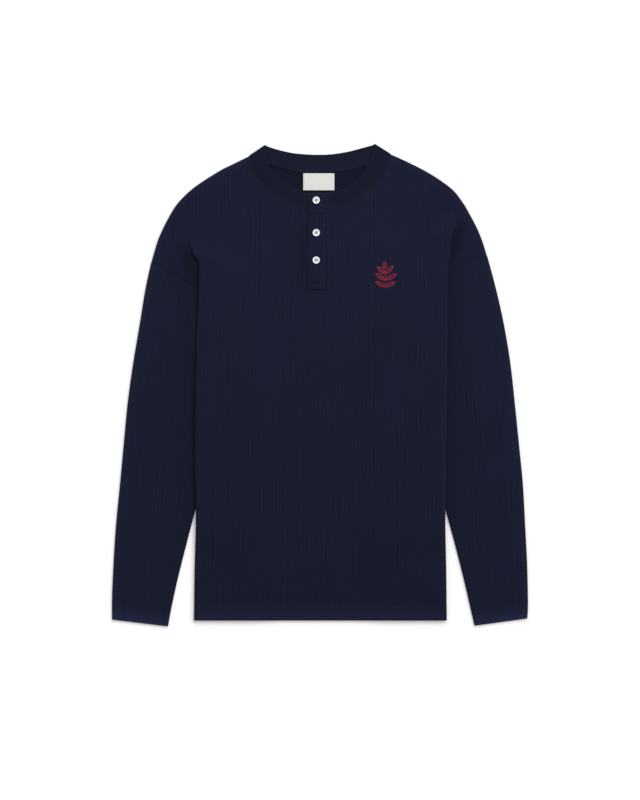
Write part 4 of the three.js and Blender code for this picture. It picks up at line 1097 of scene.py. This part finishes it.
PATCH_EDGE_AT = np.array((0, 0.25, 0.55))  # the rows next to an edge, as shares of its rounding
PATCH_EDGE_WALL = 0.45


def patch_grids(box, top_of, step, edge, rib=0.0, wall_of=None, bow=0.0):
    """Grids of a thin piece on a surface: outer and inner points, and cloth coordinates."""
    def spread(low, high, pitch):
        inside = np.linspace(low + edge, high - edge, max(2, round((high - low) / pitch)))
        return np.concatenate([low + PATCH_EDGE_AT * edge, inside,
                               high - PATCH_EDGE_AT[::-1] * edge])

    xs, ys = spread(box["left"], box["right"], step[0]), spread(box["bottom"], box["top"], step[1])
    x, y = np.meshgrid(xs, ys)
    inwards = np.minimum(np.minimum(x - box["left"], box["right"] - x),
                         np.minimum(y - box["bottom"], box["top"] - y))
    across = 2 * (x - box["left"]) / (box["right"] - box["left"]) - 1
    y = y + bow * across**2 * (box["top"] - y) / (box["top"] - box["bottom"])
    base = np.array([[top_of(*place) for place in zip(*row)] for row in zip(x, y)])
    round_over = np.sqrt(np.clip(1 - (1 - np.clip(inwards / edge, 0, 1)) ** 2, 0, 1))
    wall = box["wall"] if wall_of is None else wall_of(y)
    high = wall * mix(PATCH_EDGE_WALL, 1, round_over)
    high = high + rib * rib_at(x) * smooth((inwards - edge) / 1.5)
    return np.stack([x, y, base + high], 2), np.stack([x, y, base], 2), np.stack([x, y], 2)


def placket_wall(y):
    thin = smooth((y - PLACKET_THIN["from"]) / PLACKET_THIN["over"])
    return PLACKET["wall"] * mix(1, PLACKET_THIN["share"], thin)


def placket_top(x, y):
    """The height of the placket's outer surface, without its ribs."""
    return front_top(x, y) + GAP + float(placket_wall(y))


FOLD_AT_SEAM = 0.4  # how much of the shoulder fold's bulge is left at the seam
# Painted highlights along the band's free edge and at its seam
BAND_EDGE_HIGHLIGHT = {"light": 0.34, "wide": 0.06}
BAND_TONE = {"front": 0.88, "back": 1.0}
BAND_END = {"light": 0.20, "to": 22, "fade": 14}
BAND_SEAM_HIGHLIGHT = {"light": 0.10, "wide": 0.5}
# The tab's plain tone, and a painted highlight along its lower edge
TAB_TONE = {"plain": 1.08, "light": 0.5, "up": 1.6, "wide": 1.4}
BAND_STEPS = 64
BAND_BACK_STEPS = 72
BAND_FOLD_STEPS = 8
BAND_CURVE_STEPS = 240
BAND_RISE = {"from": 0.45, "over": 0.3}  # where the front run rises to the shoulder
BAND_SEAT_SHARE = 0.6  # of the ribs' height, where its seam sits on the front
TAB_OFF = 0.05
# The strip's section: how far across from seam to free edge, and how far off its middle
BAND_SECTION = np.array([
    (0, -0.25), (0.012, -0.42), (0.05, -0.5), (0.3, -0.5), (0.6, -0.5), (0.88, -0.5),
    (0.95, -0.46), (0.985, -0.34), (1, -0.12), (1, 0.12), (0.985, 0.34), (0.95, 0.46),
    (0.88, 0.5), (0.7, 0.5), (0.55, 0.5), (0.42, 0.5), (0.32, 0.5), (0.24, 0.5), (0.16, 0.5),
    (0.1, 0.5), (0.05, 0.5), (0.02, 0.47), (0, 0.4),
])
BAND_EASE = 0.45  # over this share of its width the front run rises from the seam


def band_stations():
    """Stations along the band: its free edge and seam in plan, its height and its turn."""
    def station(free, seam, z, up):
        return {"free": free, "seam": seam, "z": z, "up": up, "push": 0.0, "lean": 0.0,
                "away": np.zeros(2)}

    def seam_at(x):
        return np.array([x, height_on(FRONT_SEAM, x)])

    left_end, right_end = seam_at(BAND_END_X + BAND_SLANT - GAP), seam_at(BAND_END_X + BAND_SLANT)
    left_seam = np.array([left_end, *FRONT_SEAM[FRONT_SEAM[:, 0] < left_end[0] - 1][::-1]])
    right_seam = np.array([right_end, *FRONT_SEAM[FRONT_SEAM[:, 0] > right_end[0] + 1]])
    left_free = np.array(BAND_FRONT_LEFT, float)
    left_free[0, 0] -= GAP

    def run(free, seam):
        free, seam = evenly(curve(free, BAND_CURVE_STEPS), BAND_STEPS), evenly(seam, BAND_STEPS)
        share = np.linspace(0, 1, BAND_STEPS + 1)
        rise = smooth((share - BAND_RISE["from"]) / BAND_RISE["over"])
        under = mix(BAND_Z_FRONT, BAND_Z_SHOULDER, rise)
        return [station(a, b, z + BAND_WALL / 2, 1.0) for a, b, z in zip(free, seam, under)]

    def shoulder(first):
        line = first["free"] - first["seam"]
        line /= np.linalg.norm(line)
        side = math.copysign(1, first["free"][0])
        away = np.array([side * line[1], -side * line[0]])
        turns = []
        for i in range(1, BAND_FOLD_STEPS):
            a = math.pi * i / BAND_FOLD_STEPS
            z = BAND_Z_SHOULDER + BAND_WALL / 2 - BAND_TURN * (1 - math.cos(a))
            turns.append({**first, "z": z, "up": math.cos(a), "away": away,
                          "push": BAND_TURN * math.sin(a), "lean": math.sin(a)})
        return turns

    free = evenly(curve(BAND_BACK, BAND_CURVE_STEPS), BAND_BACK_STEPS)
    seam = evenly(BACK_SEAM, BAND_BACK_STEPS)
    back_run = [station(a, b, BAND_WALL / 2, -1.0) for a, b in zip(free, seam)]
    left, right = run(left_free, left_seam), run(BAND_FRONT_RIGHT, right_seam)[::-1]
    return left + shoulder(left[-1]) + back_run + shoulder(right[0])[::-1] + right


def band_height(station, across, off):
    """How high one point of the strip's section lies at a station."""
    z = station["z"] + off * BAND_WALL * station["up"]
    if station["up"] == 1 and off > 0:
        seat = front_top(*station["seam"]) + RIB_HEIGHT * BAND_SEAT_SHARE - BAND_WALL * (0.5 - off)
        z = mix(min(seat, z), z, float(smooth(across / BAND_EASE)))
    return z


def band_tone(station, across, x):
    """Painted highlights along the free edge and at the seam, and lighter towards the front end."""
    front_side = station["up"] > 0
    tone = BAND_TONE["front" if front_side else "back"]
    tone += BAND_SEAM_HIGHLIGHT["light"] * float(smooth((BAND_SEAM_HIGHLIGHT["wide"] - across) / BAND_SEAM_HIGHLIGHT["wide"]))
    if front_side:
        tone += BAND_EDGE_HIGHLIGHT["light"] * float(bell(1 - across, BAND_EDGE_HIGHLIGHT["wide"]))
    if station["up"] == 1 and BAND_END_X - 1 < x:
        tone += BAND_END["light"] * float(smooth((BAND_END["to"] - x) / BAND_END["fade"]))
    return tone


def tab_base(x, y):
    """The underside of the band's end tab, which runs on over the top of the placket."""
    down = smooth((y - TAB_SLOPE["from"]) / TAB_SLOPE["over"])
    return mix(placket_top(x, y) + TAB_OFF, TAB_SLOPE["top"] - BAND_TAB["wall"], float(down))


def neckband():
    stations = band_stations()
    along = lengths_along(np.array([(s["free"] + s["seam"]) / 2 for s in stations]))
    verts, faces, uvs, tones = [], [], [], []
    for s, at in zip(stations, along):
        gap = s["free"] - s["seam"]
        deep = np.linalg.norm(gap)
        start = s["seam"] - gap / deep * BAND_LAP
        for across, off in BAND_SECTION:
            move = (s["push"] + off * BAND_WALL * s["lean"]) * mix(FOLD_AT_SEAM, 1, across)
            flat = mix(start, s["free"], across) + s["away"] * move
            verts.append((*flat, band_height(s, across, off)))
            uvs.append((at, across * deep))
            tones.append(band_tone(s, across, flat[0]))
    count = len(BAND_SECTION)
    for i in range(1, len(stations)):
        for k in range(count):
            n = (k + 1) % count
            a, b = (i - 1) * count, i * count
            faces.append((a + k, b + k, b + n, a + n))
    faces.append(list(range(count)))
    faces.append(list(range(len(verts) - count, len(verts)))[::-1])
    tab_outer, tab_inner, tab_uv = patch_grids(BAND_TAB, tab_base, (1.4, 1.2), 0.8, bow=0.9)
    faces += [[v + len(verts) for v in f] for f in shell_faces(tab_outer.shape[:2])]
    for grid in (tab_outer, tab_inner):
        verts += [tuple(p) for p in grid.reshape(-1, 3)]
        uvs += [tuple(p) for p in tab_uv.reshape(-1, 2)]
        from_line = grid[:, :, 1].ravel() - BAND_TAB["bottom"] - TAB_TONE["up"]
        tones += list(TAB_TONE["plain"] + TAB_TONE["light"] * bell(from_line, TAB_TONE["wide"]))
    obj = make_object("neckband_cloth", verts, faces, BAND_KNIT, uvs, tones)
    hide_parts("neckband")
    return obj


band = neckband()

# Placket and label
# Painted light and shade on the placket: a dark line at the box stitching, painted highlights along
# its two edges and painted shade under the band's tab
PLACKET_LIGHT_AND_SHADE_SPOTS = (
    {"at": (-6.5, 153.3), "way": (1, 0.08), "wide": 1.4, "long": 7, "tone": -0.42},
    {"at": (-14, 232), "way": (0, 1), "wide": 1.2, "long": 16, "tone": 0.14},
    {"at": (4.6, 228), "way": (0, 1), "wide": 1.2, "long": 20, "tone": 0.14},
    {"at": (-5, 254.3), "way": (1, 0), "wide": 2.2, "long": 14, "tone": -0.42},
)
PLACKET_PLAIN = 1.04
outer, inner, uv = patch_grids(PLACKET, lambda x, y: front_top(x, y) + GAP, (1.45, 3.2), 1.3,
                               rib=0.22, wall_of=placket_wall)
placket_light_and_shade = PLACKET_PLAIN + spots_tone(uv[..., 0], uv[..., 1], PLACKET_LIGHT_AND_SHADE_SPOTS)
placket = shell("placket_cloth", outer, inner, KNIT, uv, placket_light_and_shade)
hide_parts("placket")
outer, inner, uv = patch_grids(LABEL, lambda x, y: CLOTH + GAP, (1.6, 1.6), 0.6)
label = shell("label_cloth", outer, inner, LABEL_WEAVE, uv)
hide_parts("label")


# Buttons
BUTTON_UNDER = ((1.1, 0), (0.35, 0.25), (0, 0.8))  # how far in from the rim, and how high
BUTTON_OVER = (  # how far in from the rim, and how far below the top
    (0, 0.8), (0.12, 0.35), (0.4, 0.08), (0.75, 0), (1.1, 0.1), (1.6, 0.42), (2.1, BUTTON["dish"]),
)
BUTTON_STEPS = 48
BUTTON_HOLE_STEPS = 20
BUTTON_HOLE_AT = BUTTON["hole_at"] * math.sqrt(0.5)
BUTTON_THREAD = {"radius": 0.3, "apart": 0.26}
# The button's thread over its bar: how far towards a hole, and how high above the dish
THREAD_ARCH = ((-1, -0.8), (-0.82, 0.05), (0, 0.24), (0.82, 0.05), (1, -0.8))


def button_mesh(name):
    """A turned disc with a raised rim, round its own middle."""
    b = BUTTON
    section = [(b["radius"] - inwards, high) for inwards, high in BUTTON_UNDER]
    section += [(b["radius"] - inwards, b["wall"] - low) for inwards, low in BUTTON_OVER]
    turns = 2 * math.pi * np.arange(BUTTON_STEPS) / BUTTON_STEPS
    mesh = bmesh.new()
    rings = [[mesh.verts.new((r * math.cos(a) * MM, r * math.sin(a) * MM, h * MM)) for a in turns]
             for r, h in section]
    for low, high in zip(rings, rings[1:]):
        for i in range(BUTTON_STEPS):
            n = (i + 1) % BUTTON_STEPS
            mesh.faces.new((low[i], low[n], high[n], high[i]))
    mesh.faces.new(rings[0][::-1])
    mesh.faces.new(rings[-1])
    data = bpy.data.meshes.new(name)
    mesh.to_mesh(data)
    mesh.free()
    return data


def make_button(index, y):
    """A four-hole shirt button, and the lines of the thread that holds it."""
    b, at = BUTTON, BUTTON_HOLE_AT
    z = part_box(f"button_{index}")[0][2] / MM
    if index > 1:
        z = min(z, max(placket_top(BUTTON_X, y + end * b["radius"]) for end in (-1, 0, 1)) + GAP)
    data = button_mesh(f"button_body_{index}")
    data.transform(Matrix.Translation((BUTTON_X * MM, y * MM, z * MM)))
    obj = add_object(f"button_body_{index}", data)
    data.materials.append(BUTTON_PLASTIC)
    for hole_x, hole_y in ((sx * at, sy * at) for sx in (-1, 1) for sy in (-1, 1)):
        bpy.ops.mesh.primitive_cylinder_add(
            vertices=BUTTON_HOLE_STEPS, radius=b["hole"] * MM, depth=4 * b["wall"] * MM,
            location=((BUTTON_X + hole_x) * MM, (y + hole_y) * MM, (z + 1) * MM))
        drill = bpy.context.object
        cut = obj.modifiers.new("hole", "BOOLEAN")
        cut.operation, cut.object, cut.solver = "DIFFERENCE", drill, "EXACT"
        bpy.context.view_layer.objects.active = obj
        bpy.ops.object.modifier_apply(modifier="hole")
        bpy.data.objects.remove(drill, do_unlink=True)
    for face in data.polygons:
        face.use_smooth = len(face.vertices) == 4
    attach(obj, "root")
    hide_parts(f"button_{index}")
    bar = z + b["wall"] - b["dish"]
    xs = [BUTTON_X + side * at + shift * BUTTON_THREAD["apart"] for side in (-1, 1)
          for shift in (-1, 0, 1)]
    return [[(x, y + share * at, bar + high) for share, high in THREAD_ARCH] for x in xs]


button_threads = []
for number, button_y in enumerate(BUTTON_YS, 1):
    button_threads += make_button(number, button_y)
tubes("button_thread", button_threads, BUTTON_THREAD["radius"], THREAD)

# Sewing
STITCH = {"length": 2.5, "gap": 0.5, "rise": 0.16, "sink": 0.2, "radius": 0.24}


HEM_SEWING = (HEM_DEPTH - 1.2, HEM_DEPTH - 6.4)  # two rows, up from the edge
CUFF_SEWING_IN = 1.5
PLACKET_SEWING = {"in": 2.6, "box": 12, "raised": 0.12}
LABEL_SEWING = {"side": 1.9, "end": 0.8, "radius": 0.15}
BUTTONHOLE = {"long": 14.5, "half": 1.1, "pitch": 0.34, "raised": 0.2, "sink": 0.15,
              "arch": 0.12, "radius": 0.17}


def sew(name, lines, material=THREAD, radius=STITCH["radius"]):
    runs = []
    for line in lines:
        runs += stitch_lines(np.asarray(line, float), STITCH["length"], STITCH["gap"],
                             STITCH["rise"], STITCH["sink"])
    return tubes(name, runs, radius, material)


hem_lines = []
for up in HEM_SEWING:
    hem_y = HEM_Y + up
    ends = fold_at(LEFT, hem_y)["top_out"], fold_at(RIGHT, hem_y)["top_out"]
    hem_lines.append([(x, hem_y, front_top(x, hem_y) + HEM_RISE + RIB_HEIGHT)
                      for x in np.linspace(-ends[0], ends[1], 160)])
sew("hem_sewing", hem_lines)

for side in (LEFT, RIGHT):
    cuff_lines = []
    for up in HEM_SEWING:
        a, b = (point_on(side[key], side[key]["y"][-1] + up) + (inwards, 0)
                for key, inwards in (("sleeve_outer", -CUFF_SEWING_IN),
                                     ("sleeve_inner", CUFF_SEWING_IN)))
        cuff_lines.append([(side["side"] * mix(a[0], b[0], t), mix(a[1], b[1], t),
                            MID + HALF + HEM_RISE + RIB_HEIGHT) for t in np.linspace(0, 1, 60)])
    sew(f"cuff_sewing_{side['name']}", cuff_lines)

inset = PLACKET_SEWING["in"]
across = np.linspace(PLACKET["left"] + inset, PLACKET["right"] - inset, 20)
upwards = np.linspace(PLACKET["bottom"] + inset, BAND_TAB["bottom"] - 2, 60)
edges = [[(x, y) for y in upwards] for x in across[[0, -1]]]
edges += [[(x, PLACKET["bottom"] + up) for x in across] for up in (inset, PLACKET_SEWING["box"])]
sew("placket_sewing", [[(x, y, placket_top(x, y) + PLACKET_SEWING["raised"]) for x, y in line]
                       for line in edges])

label_ys = np.linspace(LABEL["bottom"] + LABEL_SEWING["end"], LABEL["top"] - LABEL_SEWING["end"], 20)
label_sides = [[(x, y, CLOTH + GAP + LABEL["wall"]) for y in label_ys]
               for x in (LABEL["left"] + LABEL_SEWING["side"], LABEL["right"] - LABEL_SEWING["side"])]
sew("label_sewing", label_sides, LABEL_THREAD, LABEL_SEWING["radius"])


def buttonhole_lines(middle_y):
    """Short threads side by side across both lips of one buttonhole."""
    b = BUTTONHOLE
    lines = []
    for y in middle_y + np.arange(-b["long"] / 2, b["long"] / 2, b["pitch"]):
        z = placket_top(BUTTON_X, y) + b["raised"]
        for sx in (-1, 1):
            lines.append([(BUTTON_X + sx * out, y, z + high) for out, high in (
                (b["sink"], -b["sink"]), (b["half"] * 0.55, b["arch"]), (b["half"], -b["sink"]))])
    return lines


hole_threads = [line for y in BUTTON_YS[1:] for line in buttonhole_lines(y)]
tubes("buttonhole_thread", hole_threads, BUTTONHOLE["radius"], THREAD)

# The embroidered sprig
SPRIG = {"x": 96.6, "y": 163, "half_height": 20, "sway": 0.9, "raised": 0.6}
# Each pair of leaves: where it leaves the stem, the way it points off it, how long and wide
SPRIG_PAIRS = (
    {"at": 0.10, "turn": 64, "long": 16.5, "wide": 5.4},
    {"at": 0.44, "turn": 57, "long": 18.5, "wide": 5.8},
    {"at": 0.78, "turn": 47, "long": 16.5, "wide": 5.4},
)
SPRIG_TIP = {"at": 1.0, "turn": 0, "long": 12.0, "wide": 5.4}
SPRIG_LEAN = 0.3  # how much the leaves follow the stem's bends
SPRIG_THREAD = {"pitch": 0.8, "fill": 0.17, "outline": 0.34, "arch": 0.16, "over": 0.2,
                "stem_over": 0.3, "least": 0.5, "from_vein": 0.35}
LEAF_SLANT = 0.5


def leaf_half_width(leaf, t):
    return leaf["wide"] / 2 * math.sin(math.pi * min(t, 1) ** 0.8) ** 0.9 if t < 1 else 0


def sprig():
    x0, y0 = SPRIG["x"], SPRIG["y"]
    long_stem = 2 * SPRIG["half_height"] - SPRIG_TIP["long"]
    th = SPRIG_THREAD

    def stem(t):
        return np.array([x0 + SPRIG["sway"] * math.sin(math.pi * (1.6 * t - 0.3)),
                         y0 - SPRIG["half_height"] + t * long_stem])

    def raised(points, high):
        on_cloth = RIB_HEIGHT * SPRIG["raised"]
        return [(x, y, front_top(x, y) + on_cloth + h) for (x, y), h in zip(points, high)]

    leaves = [{**pair, "turn": sign * pair["turn"]} for pair in SPRIG_PAIRS for sign in (-1, 1)]
    fill, outlines = [], []
    for leaf in [*leaves, SPRIG_TIP]:
        root = stem(leaf["at"])
        way = stem(leaf["at"] + 0.02) - stem(leaf["at"] - 0.02)
        base = mix(math.pi / 2, math.atan2(way[1], way[0]), SPRIG_LEAN) - math.radians(leaf["turn"])
        forward = np.array([math.cos(base), math.sin(base)])
        side = np.array([-forward[1], forward[0]])

        def edge_point(t, sign):
            half = leaf_half_width(leaf, t)
            return root + forward * (leaf["long"] * t + LEAF_SLANT * half) + sign * side * half

        count = int(leaf["long"] / th["pitch"])
        for t in (k / count for k in range(1, count)):
            if leaf_half_width(leaf, t) < th["least"]:
                continue
            spine = root + forward * leaf["long"] * t
            for sign in (-1, 1):
                start, tip = spine + sign * side * th["from_vein"], edge_point(t, sign)
                fill.append(raised([start, mix(start, tip, 0.5), tip], [0.0, th["arch"], 0.0]))
        lines = [[edge_point(t, sign) for t in np.linspace(0.03, 1, 14)] for sign in (-1, 1)]
        lines.append([root + forward * leaf["long"] * t for t in np.linspace(0, 0.9, 8)])
        outlines += [raised(line, [th["over"]] * len(line)) for line in lines]
    outlines.append(raised([stem(t) for t in np.linspace(0, 1, 24)], [th["stem_over"]] * 24))
    tubes("sprig_fill", fill, th["fill"], EMBROIDERY)
    tubes("sprig_outline", outlines, th["outline"], SHEEN_EMBROIDERY)


sprig()


# The floor: it glows a little where the top lamp's light falls off, so it is evenly white
FLOOR = {"half": 3.0, "z": -0.0002, "glow": 0.14, "glow_from": 0.25, "glow_to": -0.65}
floor_mesh = bpy.data.meshes.new("floor")
corners = [(x * FLOOR["half"], y * FLOOR["half"], FLOOR["z"])
           for x, y in ((-1, -1), (1, -1), (1, 1), (-1, 1))]
floor_mesh.from_pydata(corners, [], [(0, 1, 2, 3)])
floor = add_object("floor", floor_mesh)
floor_material, floor_nodes = new_material("white_floor", (0.98, 0.98, 0.98), 0.95)
floor_nodes.set("Specular IOR Level", 0.0)
floor_y = floor_nodes.add("ShaderNodeSeparateXYZ", {0: floor_nodes.position()}).outputs[1]
glow = floor_nodes.add("ShaderNodeMapRange", {
    "Value": floor_y, "From Min": FLOOR["glow_from"], "From Max": FLOOR["glow_to"],
    "To Min": 0.0, "To Max": FLOOR["glow"]}).outputs[0]
floor_nodes.set("Emission Color", (1, 1, 1, 1))
floor_nodes.set("Emission Strength", glow)
floor_mesh.materials.append(floor_material)

# Light: an even white surround, a broad soft lamp from the upper right, and one at the top
WORLD_LIGHT = 0.53
LAMP = {"energy": 1.4, "angle": 38, "from": (0.75, 0.62, 0.85)}
TOP_LAMP = {"power": 6.2, "size": 0.8, "at": (0.05, 1.0, 1.0)}


def add_lamp(name, kind, energy, toward):
    """A lamp that shines along a direction."""
    data = bpy.data.lights.new(name, kind)
    data.energy = energy
    lamp = add_object(name, data)
    lamp.rotation_mode = "QUATERNION"
    lamp.rotation_quaternion = Vector(toward).to_track_quat("-Z", "Y")
    return lamp


world = bpy.data.worlds.new("studio")
bpy.context.scene.world = world
world.use_nodes = True
world.node_tree.nodes["Background"].inputs["Color"].default_value = (1, 1, 1, 1)
world.node_tree.nodes["Background"].inputs["Strength"].default_value = WORLD_LIGHT
soft_lamp = add_lamp("soft_lamp", "SUN", LAMP["energy"], -Vector(LAMP["from"]))
soft_lamp.data.angle = math.radians(LAMP["angle"])
top_lamp = add_lamp("top_lamp", "AREA", TOP_LAMP["power"], -Vector(TOP_LAMP["at"]))
top_lamp.data.size = TOP_LAMP["size"]
top_lamp.location = TOP_LAMP["at"]

# Camera straight above, as the photograph has it
CAMERA_AT = (0.0001, -0.0214, 3.0)
VIEW_HEIGHT = 1.1815  # of what it sees in the middle of the cloth, in metres
CLOTH_MIDDLE = 0.006
SENSOR = 36
camera_data = bpy.data.cameras.new("camera")
camera_data.sensor_width = SENSOR
camera_data.lens = SENSOR * (CAMERA_AT[2] - CLOTH_MIDDLE) / VIEW_HEIGHT
camera = add_object("camera", camera_data)
camera.location = CAMERA_AT
bpy.context.scene.camera = camera
bpy.context.scene.view_settings.view_transform = "Standard"
bpy.context.scene.view_settings.look = "None"
